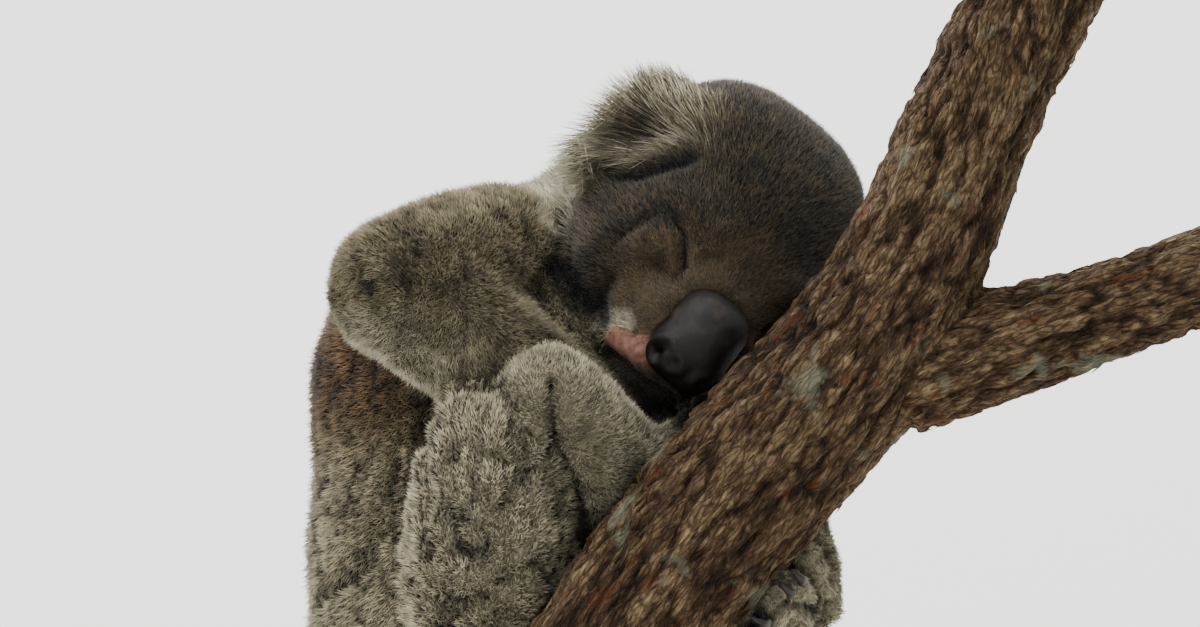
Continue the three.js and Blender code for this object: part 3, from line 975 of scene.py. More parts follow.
class FaceLine(Enum):
    """The lines of a koala's sleeping face, on its left side, in the head's frame and millimetres."""

    EYE_SLIT = ((56.5, 44.0, 14.0), (60.0, 37.0, 12.0), (63.0, 27.0, -0.6))
    LOWER_LID = ((54.0, 48.0, 9.0), (58.0, 41.0, 6.5), (61.0, 31.0, -4.5))
    EYEBALL = ((53.0, 49.0, -1.0), (56.0, 44.0, 3.0))
    BROW_CREASE = ((46.0, 58.0, -8.0), (49.0, 54.5, 1.0), (50.0, 53.0, 7.0))
    INNER_CORNER = ((58.6, 37.0, -8.0), (62.8, 28.0, -8.4))
    BROW_RIDGE = ((44.0, 60.0, 20.0), (54.0, 44.0, 29.0), (60.0, 24.0, 22.0))
    MUZZLE_RIM = ((62.4, 31.0, -24.0), (66.0, 20.0, -5.0), (67.0, 8.0, 3.0))
    CHEEK = ((34.0, 63.0, -22.0), (40.0, 60.0, -6.0))
    CHEEK_CREASE = ((47.0, 38.0, -50.0), (42.0, 46.0, -40.0), (46.0, 48.0, -27.0))
    LIP = ((66.0, 19.0, -48.5), (58.0, 26.0, -50.8), (50.0, 32.0, -52.0))
    LIP_SKIN = ((66.0, 20.0, -47.0), (60.0, 25.0, -49.5), (54.0, 30.5, -51.0))
    LIP_CREAM = ((56.0, 33.0, -42.0), (49.0, 36.0, -46.0), (45.0, 37.0, -50.0))
    MOUTH = ((76.0, 2.0, -60.0), (68.0, 12.0, -58.5), (61.0, 22.0, -59.0), (48.0, 31.0, -58.0))
    EAR_SHADOW = ((19.0, 80.0, 12.0), (27.0, 62.0, 26.0), (32.0, 51.0, 44.0))
    EAR_EDGE = ((19.0, 86.0, 20.0), (26.0, 68.0, 32.0), (31.0, 56.0, 50.0))
    EAR_HOLLOW = ((23.0, 86.0, 32.0), (24.0, 74.0, 45.0))
    EAR_CREST = ((15.0, 80.0, 60.0), (18.0, 66.0, 72.0))
    RUFF = ((-42.0, 80.0, -8.0), (-18.0, 78.0, -13.0), (-1.0, 75.0, -25.0))


FOLDS: dict[FaceLine, tuple[float, float]] = {
    FaceLine.BROW_RIDGE: (2.6, 8.0),
    FaceLine.EYEBALL: (4.2, 9.0),
    FaceLine.CHEEK: (2.0, 12.0),
    FaceLine.MUZZLE_RIM: (2.2, 7.0),
    FaceLine.LIP: (4.2, 7.5),
    FaceLine.BROW_CREASE: (-3.0, 3.2),
    FaceLine.INNER_CORNER: (-3.2, 5.0),
    FaceLine.CHEEK_CREASE: (-3.5, 4.5),
    FaceLine.LOWER_LID: (1.6, 2.6),
    FaceLine.EYE_SLIT: (-4.6, 2.0),
    FaceLine.MOUTH: (-3.0, 2.2),
    FaceLine.EAR_SHADOW: (-6.0, 5.0),
    FaceLine.EAR_EDGE: (2.5, 5.0),
    FaceLine.EAR_HOLLOW: (-7.0, 12.0),
}


class BodyLine(Enum):
    """Creases of the body on its open side, and lines where painted shade and painted shadow lie, as right
    and up in the model's frame and millimetres.
    """

    KNEE = ((-24.5, 388.0), (-23.0, 359.0), (-14.0, 342.0), (-8.0, 322.0))
    THIGH_CLEFT = ((-88.0, 369.0), (-86.5, 357.0), (-86.0, 346.0), (-81.0, 332.0), (-87.0, 318.0))
    THIGH_FOLD = ((-73.5, 325.0), (-69.5, 309.0), (-67.5, 301.0))
    FLANK_FOLD = ((-145.0, 274.0), (-126.0, 288.0), (-109.0, 302.0), (-106.0, 316.0))
    HIP_CREASE = ((-101.0, 313.0), (-96.0, 293.0), (-79.0, 278.0))
    HIP_NOTCH = ((-100.0, 350.0), (-103.0, 334.0), (-101.0, 313.0))
    CHIN_SHADE = ((26.0, 372.0), (36.0, 376.0), (48.0, 374.0))
    CHEEK_SHADE = ((-20.0, 445.0), (-10.0, 434.0), (-2.0, 426.0))
    FOOT_OUTER = ((103.0, 313.0), (111.0, 304.0), (114.0, 294.0), (112.5, 284.0), (111.0, 266.0))
    FOOT_MIDDLE = ((93.0, 297.0), (103.0, 292.5), (108.5, 284.0), (107.0, 275.0), (106.0, 264.0))
    FOOT_LOWER = ((87.0, 273.0), (93.0, 279.0), (101.0, 279.0), (105.5, 274.0))
    FOOT_PAD_SHADOW = ((72.0, 266.0), (78.0, 271.0), (85.0, 271.0))


CREASES: dict[BodyLine, tuple[float, float]] = {
    BodyLine.KNEE: (5.0, 3.4),
    BodyLine.THIGH_CLEFT: (5.0, 3.2),
    BodyLine.THIGH_FOLD: (4.0, 3.0),
    BodyLine.FLANK_FOLD: (3.5, 3.2),
    BodyLine.HIP_CREASE: (3.5, 3.0),
    BodyLine.HIP_NOTCH: (2.0, 3.0),
    BodyLine.CHIN_SHADE: (4.0, 8.0),
    BodyLine.CHEEK_SHADE: (2.0, 8.0),
    BodyLine.FOOT_OUTER: (5.5, 2.6),
    BodyLine.FOOT_MIDDLE: (5.5, 2.6),
    BodyLine.FOOT_LOWER: (4.5, 2.4),
    BodyLine.FOOT_PAD_SHADOW: (5.0, 5.0),
}


class Surface:
    """A mesh that things grow from: its vertices, the way they lie, and fields by vertex."""

    def __init__(self, mesh: bpy.types.Mesh, lie: Array, fields: dict[str, Array]) -> None:
        """Reads the mesh.

        Args:
            mesh: A mesh with a map named OFBake.
            lie: The way that things lie at each vertex.
            fields: One value, or one vector, to a vertex, by name.
        """
        mesh.calc_loop_triangles()
        count = len(mesh.loop_triangles)
        corners = np.empty(count * 3, np.int32)
        mesh.loop_triangles.foreach_get("vertices", corners)
        loops = np.empty(count * 3, np.int32)
        mesh.loop_triangles.foreach_get("loops", loops)
        spots = np.empty(len(mesh.loops) * 2, np.float32)
        mesh.uv_layers["OFBake"].data.foreach_get("uv", spots)
        self.places = places_of(mesh)
        self.normals = normals_of(mesh)
        self.lie = lie
        self.fields = fields
        self.corners = corners.reshape(-1, 3)
        self.spots = spots.reshape(-1, 2)[loops].reshape(-1, 3, 2)
        placed = self.places[self.corners]
        sides = np.cross(placed[:, 1] - placed[:, 0], placed[:, 2] - placed[:, 0])
        self.areas = np.linalg.norm(sides, axis=1) / 2.0 / MM**2

    def scatter(self, density: Array, rng: np.random.Generator) -> "Roots":
        """Scatters roots evenly over the surface.

        Args:
            density: Roots to a square millimetre, by vertex.
            rng: Source of the scatter.

        Returns:
            The roots.
        """
        expected = np.cumsum(self.areas * density[self.corners].mean(axis=1))
        count = int(expected[-1])
        picks = (np.arange(count) + rng.random(count)) / count * expected[-1]
        chosen = np.minimum(np.searchsorted(expected, picks), len(expected) - 1)
        first = np.sqrt(rng.random(count))
        second = rng.random(count)
        shares = np.stack([1.0 - first, first * (1.0 - second), first * second], axis=1)
        corners = self.corners[chosen]

        def spread(values: Array) -> Array:
            """Values at the vertices, taken at the roots."""
            return np.einsum("nk,nk...->n...", shares, values[corners])

        normals = unit(spread(self.normals))
        return Roots(
            spread(self.places),
            normals,
            unit(tangent(spread(self.lie), normals)),
            np.einsum("nk,nkd->nd", shares, self.spots[chosen]),
            {key: spread(values) for key, values in self.fields.items()},
        )


def unwrap(piece: bpy.types.Object) -> None:
    """Unwraps a piece's own shape into a map named OFBake."""
    bpy.context.view_layer.objects.active = piece
    piece.select_set(True)
    bpy.ops.object.mode_set(mode="EDIT")
    bpy.ops.mesh.select_all(action="SELECT")
    bpy.ops.uv.smart_project(angle_limit=math.radians(66.0), island_margin=0.002)
    bpy.ops.object.mode_set(mode="OBJECT")
    piece.select_set(False)
    piece.data.uv_layers.active.name = "OFBake"


class Skin:
    """One skin for all the flesh, inside the solids by the depth of the coat.

    After build() it holds, for each vertex, the way the coat lies and the fields that say how the coat grows.
    """

    def __init__(self, voxel: float = 3.0 * MM, swell: float = 0.5 * MM, rounding: int = 9) -> None:
        """Keeps the sizes that the skin is made with.

        Args:
            voxel: Width of the skin's faces.
            swell: How far the solids are swollen so that their gaps close.
            rounding: How many rounds of smoothing melt the solids into each other.
        """
        self.voxel = voxel
        self.swell = swell
        self.rounding = rounding
        self.fields: dict[str, Array] = {}

    def build(self) -> bpy.types.Object:
        """Makes the skin's mesh, its fields and its features.

        Returns:
            The finished piece.
        """
        self.piece = joined_copy("skin", FLESH, self.swell)
        remesh(self.piece, self.voxel)
        self.refine_face()
        mesh = self.piece.data
        edges = edges_of(mesh)
        self.read_fields(edges)
        set_places(mesh, smoothed(places_of(mesh), edges, self.rounding))
        self.shape_fields()
        f = self.fields
        depth = (f["length"] * (0.25 + 0.55 * f["lift"]) + 0.3 * f["wool"]) * MM
        set_places(mesh, places_of(mesh) - normals_of(mesh) * depth[:, None])
        set_places(mesh, smoothed(places_of(mesh), edges, 3))
        self.snap_lines()
        self.sculpt()
        self.mark()
        unwrap(self.piece)
        return self.piece

    def refine_face(self) -> None:
        """Splits the faces of the face and of the near foot, so that fine folds have room."""
        whole = bmesh.new()
        whole.from_mesh(self.piece.data)
        head = HEAD.seen_from(np.array([vertex.co for vertex in whole.verts]))
        fine = (head[:, 0] > 30.0) & (np.abs(head[:, 1]) < 66.0) & (head[:, 2] > -72.0) & (head[:, 2] < 40.0)
        fine &= np.linalg.norm(head, axis=1) < 112.0
        low, high = (np.array(corner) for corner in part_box("foot_left"))
        places = np.array([vertex.co for vertex in whole.verts])
        fine |= np.all((places > low - 6.0 * MM) & (places < high + 6.0 * MM), axis=1)
        whole.verts.ensure_lookup_table()
        chosen = [edge for edge in whole.edges if all(fine[vertex.index] for vertex in edge.verts)]
        bmesh.ops.subdivide_edges(whole, edges=chosen, cuts=1, use_grid_fill=True)
        bmesh.ops.triangulate(whole, faces=[face for face in whole.faces if len(face.verts) > 4])
        whole.to_mesh(self.piece.data)
        whole.free()

    def read_fields(self, edges: Array) -> None:
        """Reads each vertex's growth from the nearest solid, and smooths it over the skin.

        Args:
            edges: The mesh's edges.
        """
        corners: list[Vector] = []
        faces: list[list[int]] = []
        owners: list[int] = []
        for number, node in enumerate(FLESH):
            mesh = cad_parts[node].data
            first = len(corners)
            corners += [vertex.co.copy() for vertex in mesh.vertices]
            faces += [[first + index for index in polygon.vertices] for polygon in mesh.polygons]
            owners += [number] * len(mesh.polygons)
        tree = BVHTree.FromPolygons(corners, faces)
        places = places_of(self.piece.data)
        found = [tree.find_nearest(place)[2] for place in places]
        self.owner = np.array(owners)[found]
        sources = np.array([centre_of(growth.upstream) for growth in GROWTHS.values()])
        away = unit(places - sources[self.owner])
        table = [[getattr(GROWTHS[node], key) for key in FIELDS] for node in FLESH]
        shares = np.stack([self.owned_by("head"), self.owned_by(*EARS)], axis=1)
        values = np.hstack([np.array(table)[self.owner], away, shares])
        values = smoothed(values, edges, 12)
        self.fields = {key: values[:, number] for number, key in enumerate(FIELDS)}
        self.away = values[:, len(FIELDS) : len(FIELDS) + 3]
        self.on_head, self.on_ear = values[:, -2], values[:, -1]

    def owned_by(self, *nodes: str) -> Array:
        """1 on vertices that belong to these nodes, 0 elsewhere."""
        numbers = [FLESH.index(node) for node in nodes]
        return np.isin(self.owner, numbers).astype(float)

    def shape_fields(self) -> None:
        """Shortens the coat towards the nose, lengthens it at the ruff, and turns the hairs of the ears."""
        mesh = self.piece.data
        head = HEAD.seen_from(places_of(mesh))
        normals = normals_of(mesh)
        f = self.fields
        count = len(head)
        from_nose = np.linalg.norm(head - np.array(HEAD.nose), axis=1)
        face = self.on_head * (1.0 - smoothstep(22.0, 90.0, from_nose))
        for key, value in {"length": 2.1, "width": 0.45, "lift": 0.36, "density": 3.1}.items():
            f[key] = blend(f[key], np.full(count, value), face)
        mirrored = np.column_stack([head[:, 0], np.abs(head[:, 1]), head[:, 2]])
        ruff = (1.0 - smoothstep(5.0, 18.0, near_line(mirrored, FaceLine.RUFF.value))) * (1.0 - self.on_ear)
        f["ruff"] = ruff
        f["length"] = blend(f["length"], np.full(count, 16.0), ruff * 0.8)
        # Seen from its open side the animal is combed finer than at its back.
        front = 0.5 - 0.5 * normals[:, 1]
        f["density"] = f["density"] * (0.7 + 0.5 * front)
        f["width"] = f["width"] * (1.3 - 0.45 * front)
        # The curled back stretches the wool smooth, and the folds gather on the flank and thigh.
        stretched = smoothstep(-0.1, 0.6, normals[:, 1])
        f["wool"] = f["wool"] * (1.0 - 0.72 * stretched)
        f["stretched"] = stretched
        # An ear's hairs stream outwards and droop, and stand up along its crest.
        rise = np.clip((head[:, 2] - 45.0) / 25.0, -1.0, 1.0)
        stream = np.column_stack([np.full(count, 0.1), np.sign(head[:, 1]), rise * 0.8 - 0.18])
        turned = HEAD.turned_out(unit(stream))
        share = np.clip(self.on_ear * 1.4, 0.0, 1.0)[:, None]
        self.away = blend(unit(self.away), turned, share)
        f["length"] = f["length"] * (1.0 - 0.3 * np.clip(rise, 0.0, 1.0) * self.on_ear)

    def snap_lines(self) -> None:
        """Lays the face's lines on the skin, and measures each vertex's distance from them."""
        mesh = self.piece.data
        places = places_of(mesh)
        head = HEAD.seen_from(places)
        polygons = [tuple(polygon.vertices) for polygon in mesh.polygons]
        tree = BVHTree.FromPolygons([Vector(place) for place in places], polygons)
        self.near: dict[FaceLine, Array] = {}
        for line in FaceLine:
            best = np.full(len(places), np.inf)
            for side in (-1.0, 1.0):
                points = np.array(line.value) * (1.0, side, 1.0)
                steps = np.linspace(0.0, len(points) - 1.0, 4 * len(points))
                dense = np.column_stack(
                    [np.interp(steps, np.arange(len(points)), points[:, k]) for k in range(3)]
                )
                laid = [tree.find_nearest(Vector(place))[0] for place in HEAD.out(dense)]
                best = np.minimum(best, near_line(head, HEAD.seen_from(np.array(laid))))
            self.near[line] = best
        eye = STUDIO.camera_place()
        self.creased: dict[BodyLine, Array] = {}
        for line in BodyLine:
            points = np.array(line.value) * MM
            steps = np.linspace(0.0, len(points) - 1.0, 6 * len(points))
            dense = [np.interp(steps, np.arange(len(points)), points[:, k]) for k in (0, 1)]
            aims = [Vector((right, STUDIO.look_at.y, up)) - eye for right, up in zip(*dense)]
            laid = [tree.ray_cast(eye, aim.normalized())[0] for aim in aims]
            hits = [place / MM for place in laid if place is not None]
            self.creased[line] = near_line(places / MM, hits)

    def around(self, line: FaceLine, core: float, edge: float) -> Array:
        """1 within `core` millimetres of a line of the face, fading to 0 at `edge`."""
        return 1.0 - smoothstep(core, edge, self.near[line])

    def sculpt(self) -> None:
        """Cuts the folds of the face and the folds of the wool, and measures the hollows where the coat is
        darkened as painted shade.
        """
        mesh = self.piece.data
        places = places_of(mesh)
        rise = np.zeros(len(places))
        for line, (height, reach) in FOLDS.items():
            rise += height * np.exp(-((self.near[line] / reach) ** 2))
        wide = self.wool_folds(places, 0.019, 0.15, 61)
        fine = self.wool_folds(places, 0.008, 0.2, 62)
        f = self.fields
        # The hollow share marks the bottoms of the wool's folds; the coat is darkened there as painted shade.
        f["hollow"] = np.clip((0.75 * wide + 0.4 * fine) * np.clip(f["wool"] / 2.0, 0.0, 1.0), 0.0, 1.0)
        rise -= f["wool"] * (1.0 * wide + 0.4 * fine)
        f["rim"] = np.zeros(len(places))
        # Each crease deepens the hollow share, so it is darkened as painted shade too.
        for line, (depth, reach) in CREASES.items():
            cut = np.exp(-((self.creased[line] / reach) ** 2))
            lips = np.exp(-(((self.creased[line] - 2.6 * reach) / reach) ** 2))
            # Beside the foot's creases the raised lips are kept, to be painted with a highlight.
            if line.name.startswith("FOOT"):
                f["rim"] = np.maximum(f["rim"], lips)
            rise += depth * (0.3 * lips - cut)
            f["hollow"] = np.maximum(f["hollow"], cut)
        f["length"] = f["length"] * (1.0 - 0.35 * f["hollow"])
        set_places(mesh, places + normals_of(mesh) * (rise * MM)[:, None])

    @staticmethod
    def wool_folds(places: Array, size: float, narrow: float, seed: int, squeeze: float = 0.36) -> Array:
        """Where wool parts into upright folds: 1 in a fold's bottom and 0 on the wool between.

        Args:
            places: Points, three numbers to a row.
            size: About how far apart the folds are.
            narrow: Width of a fold, as a share of the noise that it is cut from.
            seed: Which folds.
            squeeze: Width of the folds as a share of their length.

        Returns:
            One value to a row.
        """
        drift = np.stack([noise(places, size * 2.5, seed + 10 + axis) for axis in range(3)], axis=1)
        squeezed = (places + drift * size * 0.35) * np.array([1.0, 1.0, squeeze])
        return np.exp(-((noise(squeezed, size, seed) / narrow) ** 2))

    def mark(self) -> None:
        """Works out markings, bare places, painted shade, painted shadow and painted highlights, and stores
        them for the materials and for the coat.
        """
        mesh = self.piece.data
        places = places_of(mesh)
        normals = normals_of(mesh)
        head = HEAD.seen_from(places)
        f = self.fields
        self.lie = unit(tangent(self.away, normals))
        f["black"] = np.zeros(len(places))
        f["on_ear"] = self.on_ear
        from_nose = np.linalg.norm(head - np.array(HEAD.nose), axis=1)
        # Painted shade: the head's coat darkens away from the muzzle, over the forehead and crown.
        f["tone"] = -0.44 * self.on_head * (1.0 - self.on_ear) * smoothstep(44.0, 70.0, from_nose)
        # Painted highlight: the coat on the eye's mound is lightened where light would catch the bulge.
        f["tone"] += 0.1 * self.around(FaceLine.EYEBALL, 3.0, 9.0)
        f["tone"] += 0.22 * smoothstep(1.4, 2.6, f["wool"])
        # Black along the brow and cheek creases, the inner eye corner and the mouth is painted shade, and
        # under the ear's edge painted shadow; in the ear's hollow and the eye's slit it is partly dark skin
        # and partly painted shade.
        for line, share, core, edge in (
            (FaceLine.EAR_HOLLOW, 0.7, 4.0, 13.0),
            (FaceLine.EAR_SHADOW, 0.95, 3.5, 9.0),
            (FaceLine.INNER_CORNER, 0.35, 1.0, 6.0),
            (FaceLine.BROW_CREASE, 0.4, 0.5, 3.5),
            (FaceLine.CHEEK_CREASE, 0.7, 1.0, 6.0),
            (FaceLine.EYE_SLIT, 0.95, 1.0, 3.2),
            (FaceLine.MOUTH, 0.9, 2.0, 6.0),
        ):
            f["black"] = np.maximum(f["black"], share * self.around(line, core, edge))
        # Painted shadow: the hole by the foot's pad, under its toes, goes near-black.
        pad = 1.0 - smoothstep(3.0, 8.0, self.creased[BodyLine.FOOT_PAD_SHADOW])
        # Painted shade between the chin and the knee, near-black.
        painted_chin_shade = 1.0 - smoothstep(9.0, 15.0, self.creased[BodyLine.CHIN_SHADE])
        f["black"] = np.maximum(f["black"], 0.85 * painted_chin_shade)
        # Painted shade down the cheek's lower edge, kept off the lip's cream patch.
        painted_jowl_shade = 1.0 - smoothstep(4.0, 15.0, self.creased[BodyLine.CHEEK_SHADE])
        f["black"] = np.maximum(f["black"], 0.7 * painted_jowl_shade * (1.0 - self.around(FaceLine.LIP_CREAM, 4.0, 12.0)))
        f["black"] = np.maximum(f["black"], 0.95 * pad)
        # Painted highlight: cream along the rims of the foot's lobes, beside their creases.
        f["cream"] = np.maximum(f["cream"], 0.7 * f["rim"] * (1.0 - pad))
        # Painted shade under the jaw: the head's coat goes dark below the mouth.
        painted_underjaw_shade = self.on_head * smoothstep(-52.0, -60.0, head[:, 2])
        f["black"] = np.maximum(f["black"], painted_underjaw_shade * 0.8)
        f["cream"] = np.maximum(f["cream"], 0.9 * self.around(FaceLine.LIP_CREAM, 3.5, 9.5))
        outer = smoothstep(70.0, 84.0, np.abs(head[:, 1])) * smoothstep(48.0, 24.0, head[:, 2])
        sweep = self.around(FaceLine.EAR_EDGE, 3.0, 12.0)
        f["cream"] = np.maximum(f["cream"], np.maximum(0.75 * outer, 0.25 * sweep) * self.on_ear)
        # The ear's hollow is darkened: partly its dark skin, partly painted shade in the hollow.
        hollow = self.around(FaceLine.EAR_HOLLOW, 7.0, 19.0) * self.on_ear
        f["darkness"] = np.maximum(f["darkness"], hollow)
        f["cream"] = np.maximum(f["cream"], 0.6 * f["ruff"])
        pale_rim = 0.45 * self.around(FaceLine.MUZZLE_RIM, 2.0, 11.0)
        f["paleness"] = np.maximum(f["paleness"], pale_rim)
        f["darkness"] = f["darkness"] * (1.0 - 0.5 * f["ruff"]) * (1.0 - 0.6 * self.on_ear * (1.0 - hollow))
        crest = self.around(FaceLine.EAR_CREST, 6.0, 16.0)
        f["pied"] = np.clip(0.35 * self.on_ear + crest, 0.0, 1.0) * np.clip(self.on_ear * 3.0, 0.0, 1.0)
        arms = self.owned_by("arm_right_upper", "arm_right_fore", "arm_left_upper", "arm_left_fore")
        arms = smoothed(arms, edges_of(mesh), 8)
        under = smoothstep(0.15, 0.8, -normals[:, 2])
        f["cream"] = np.maximum(f["cream"], 0.75 * arms * under)
        low, high = (np.array(corner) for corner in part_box("chest"))
        share = (places - low) / (high - low)
        warm = np.exp(-(((share[:, 2] - 0.3) / 0.38) ** 2)) * np.exp(-(((share[:, 0] - 0.1) / 0.3) ** 2))
        on_torso = smoothed(self.owned_by("chest", "belly"), edges_of(mesh), 8)
        f["rust"] = np.maximum(f["rust"], 0.9 * warm * on_torso * (1.0 - 0.55 * f["stretched"]))
        # Warmer towards the crown: partly its own warm brown, partly painted backlight on the top of the
        # head.
        f["rust"] = np.maximum(f["rust"], 0.22 * self.on_head * smoothstep(60.0, 92.0, head[:, 2]))
        ragged = 1.6 * noise(places, 5.0 * MM, 51, 2)
        lip = 1.0 - smoothstep(5.5, 11.5, self.near[FaceLine.LIP_SKIN] + ragged)
        lid = self.around(FaceLine.LOWER_LID, 0.6, 2.4)
        # The eye's slit is bare and near-black: partly the lids' dark skin, partly painted shade in the
        # crease.
        slit = self.around(FaceLine.EYE_SLIT, 0.8, 2.0)
        pink = np.clip(lip + 0.28 * lid, 0.0, 1.0)
        f["density"] = f["density"] * (1.0 - np.clip(lip**2 + 0.5 * lid + slit, 0.0, 1.0))
        set_attribute(mesh, "pink", pink)
        set_attribute(mesh, "bare", np.clip(slit, 0.0, 1.0))
        for key, fibre in MARKINGS.items():
            if fibre is not None:
                set_attribute(mesh, key, f[key])
        set_attribute(mesh, "tip", np.full(len(places), 0.3))
        # Painted shade on the skin: a little darker all over beneath the coat, darker in hollows, with the
        # tone field's shade and light.
        set_attribute(mesh, "shade", f["tone"] - 0.12 - 0.5 * f["hollow"])
        shade_smooth(mesh)


# ---------------------------------------------------------------- the coat


@dataclass
class Roots:
    """Where tufts grow: places, skin normals, the way they lie, map places and growth fields, by row."""

    places: Array
    normals: Array
    lie: Array
    map_places: Array
    fields: dict[str, Array]


@dataclass(frozen=True)
class Tufts:
    """Makes tapering three-sided tufts, each `rings` stretches long from its root to its one-point tip."""

    rings: int = 1
    droop: float = 0.0
    sunk: float = 0.8 * MM
    lock: float = 6.0 * MM
    unruly: float = 0.28
    toss: float = 0.1
    patch: float = 0.003
    pepper: float = 0.16
    stored: tuple[str, ...] = ()

    def mesh(self, name: str, roots: Roots, rng: np.random.Generator) -> bpy.types.Mesh:
        """Builds one mesh that holds a tuft at every root.

        Args:
            name: The mesh's name.
            roots: Where and how the tufts grow.
            rng: Source of the small differences between tufts.

        Returns:
            The mesh, with its map and its fields.
        """
        count = len(roots.places)
        f = roots.fields
        length = f["length"] * MM * rng.uniform(0.65, 1.15, count)
        width = f["width"] * MM * rng.uniform(0.7, 1.3, count)
        lift = np.clip(f["lift"] + rng.normal(0.0, self.toss, count), 0.0, 0.95)
        lie = unit(roots.lie + tangent(rng.normal(0.0, self.unruly, (count, 3)), roots.normals))
        aim = unit(lie * (1.0 - lift)[:, None] + roots.normals * lift[:, None])
        centres, number = nearest_jittered(roots.places, self.lock, 11)
        straight = roots.places + aim * length[:, None]
        tip = straight + tangent(centres - roots.places, aim) * f["gather"][:, None]
        tip += (roots.lie - roots.normals * 0.5) * (length * self.droop)[:, None]
        side = unit(np.cross(aim, rng.normal(size=(count, 3))))
        across = np.cross(aim, side)
        root = roots.places - aim * self.sunk
        corners = []
        shares = []
        for ring in range(self.rings):
            share = ring / self.rings
            middle = root + blend(straight - root, tip - root, share) * share
            swell = width * (1.0 - 0.7 * share) * 0.5
            for turn in range(3):
                angle = math.tau * turn / 3.0
                offset = side * math.cos(angle) + across * math.sin(angle)
                corners.append(middle + offset * swell[:, None])
                shares.append(share)
        corners.append(tip)
        shares.append(1.0)
        each = len(corners)
        places = np.stack(corners, axis=1).reshape(-1, 3)
        faces = (np.arange(count)[:, None, None] * each + self.triangles()[None]).reshape(-1, 3)
        mesh = mesh_of(name, places, faces)
        shift = np.array([(share - 0.5, (index % 3) / 2.0 - 0.5) for index, share in enumerate(shares)])
        spots = (roots.map_places[:, None, :] + shift[None] * self.patch).reshape(-1, 2)
        layer = mesh.uv_layers.new(name="OFBake")
        layer.data.foreach_set("uv", spots[faces.ravel()].astype(np.float32).ravel())
        set_attribute(mesh, "tip", np.tile(np.array(shares), count))
        shade = (number - 0.5) * (0.15 + f["gather"]) * 0.6 + rng.normal(0.0, self.pepper, count)
        # Painted shade and light: the tone field, and darkening in folds, creases and gaps by the hollow
        # share.
        shade += f["tone"] - 0.62 * f["hollow"]
        set_attribute(mesh, "shade", np.repeat(shade, each))
        for key in self.stored:
            set_attribute(mesh, key, np.repeat(f[key], each, axis=0))
        return mesh

    def triangles(self) -> Array:
        """The triangles of one tuft, by corner number, with its root closed."""
        faces = [(2, 1, 0)]
        for ring in range(self.rings - 1):
            low, high = ring * 3, ring * 3 + 3
            for number in range(3):
                after = (number + 1) % 3
                faces.append((low + number, low + after, high + after))
                faces.append((low + number, high + after, high + number))
        last = (self.rings - 1) * 3
        faces += [(last + number, last + (number + 1) % 3, self.rings * 3) for number in range(3)]
        return np.array(faces)


def mesh_of(name: str, places: Array, faces: Array) -> bpy.types.Mesh:
    """A smooth-shaded mesh from arrays of places and triangles."""
    mesh = bpy.data.meshes.new(name)
    mesh.vertices.add(len(places))
    mesh.vertices.foreach_set("co", places.astype(np.float32).ravel())
    mesh.loops.add(faces.size)
    mesh.loops.foreach_set("vertex_index", faces.astype(np.int32).ravel())
    mesh.polygons.add(len(faces))
    mesh.polygons.foreach_set("loop_start", np.arange(0, faces.size, 3, dtype=np.int32))
    shade_smooth(mesh)
    mesh.update(calc_edges=True)
    return mesh


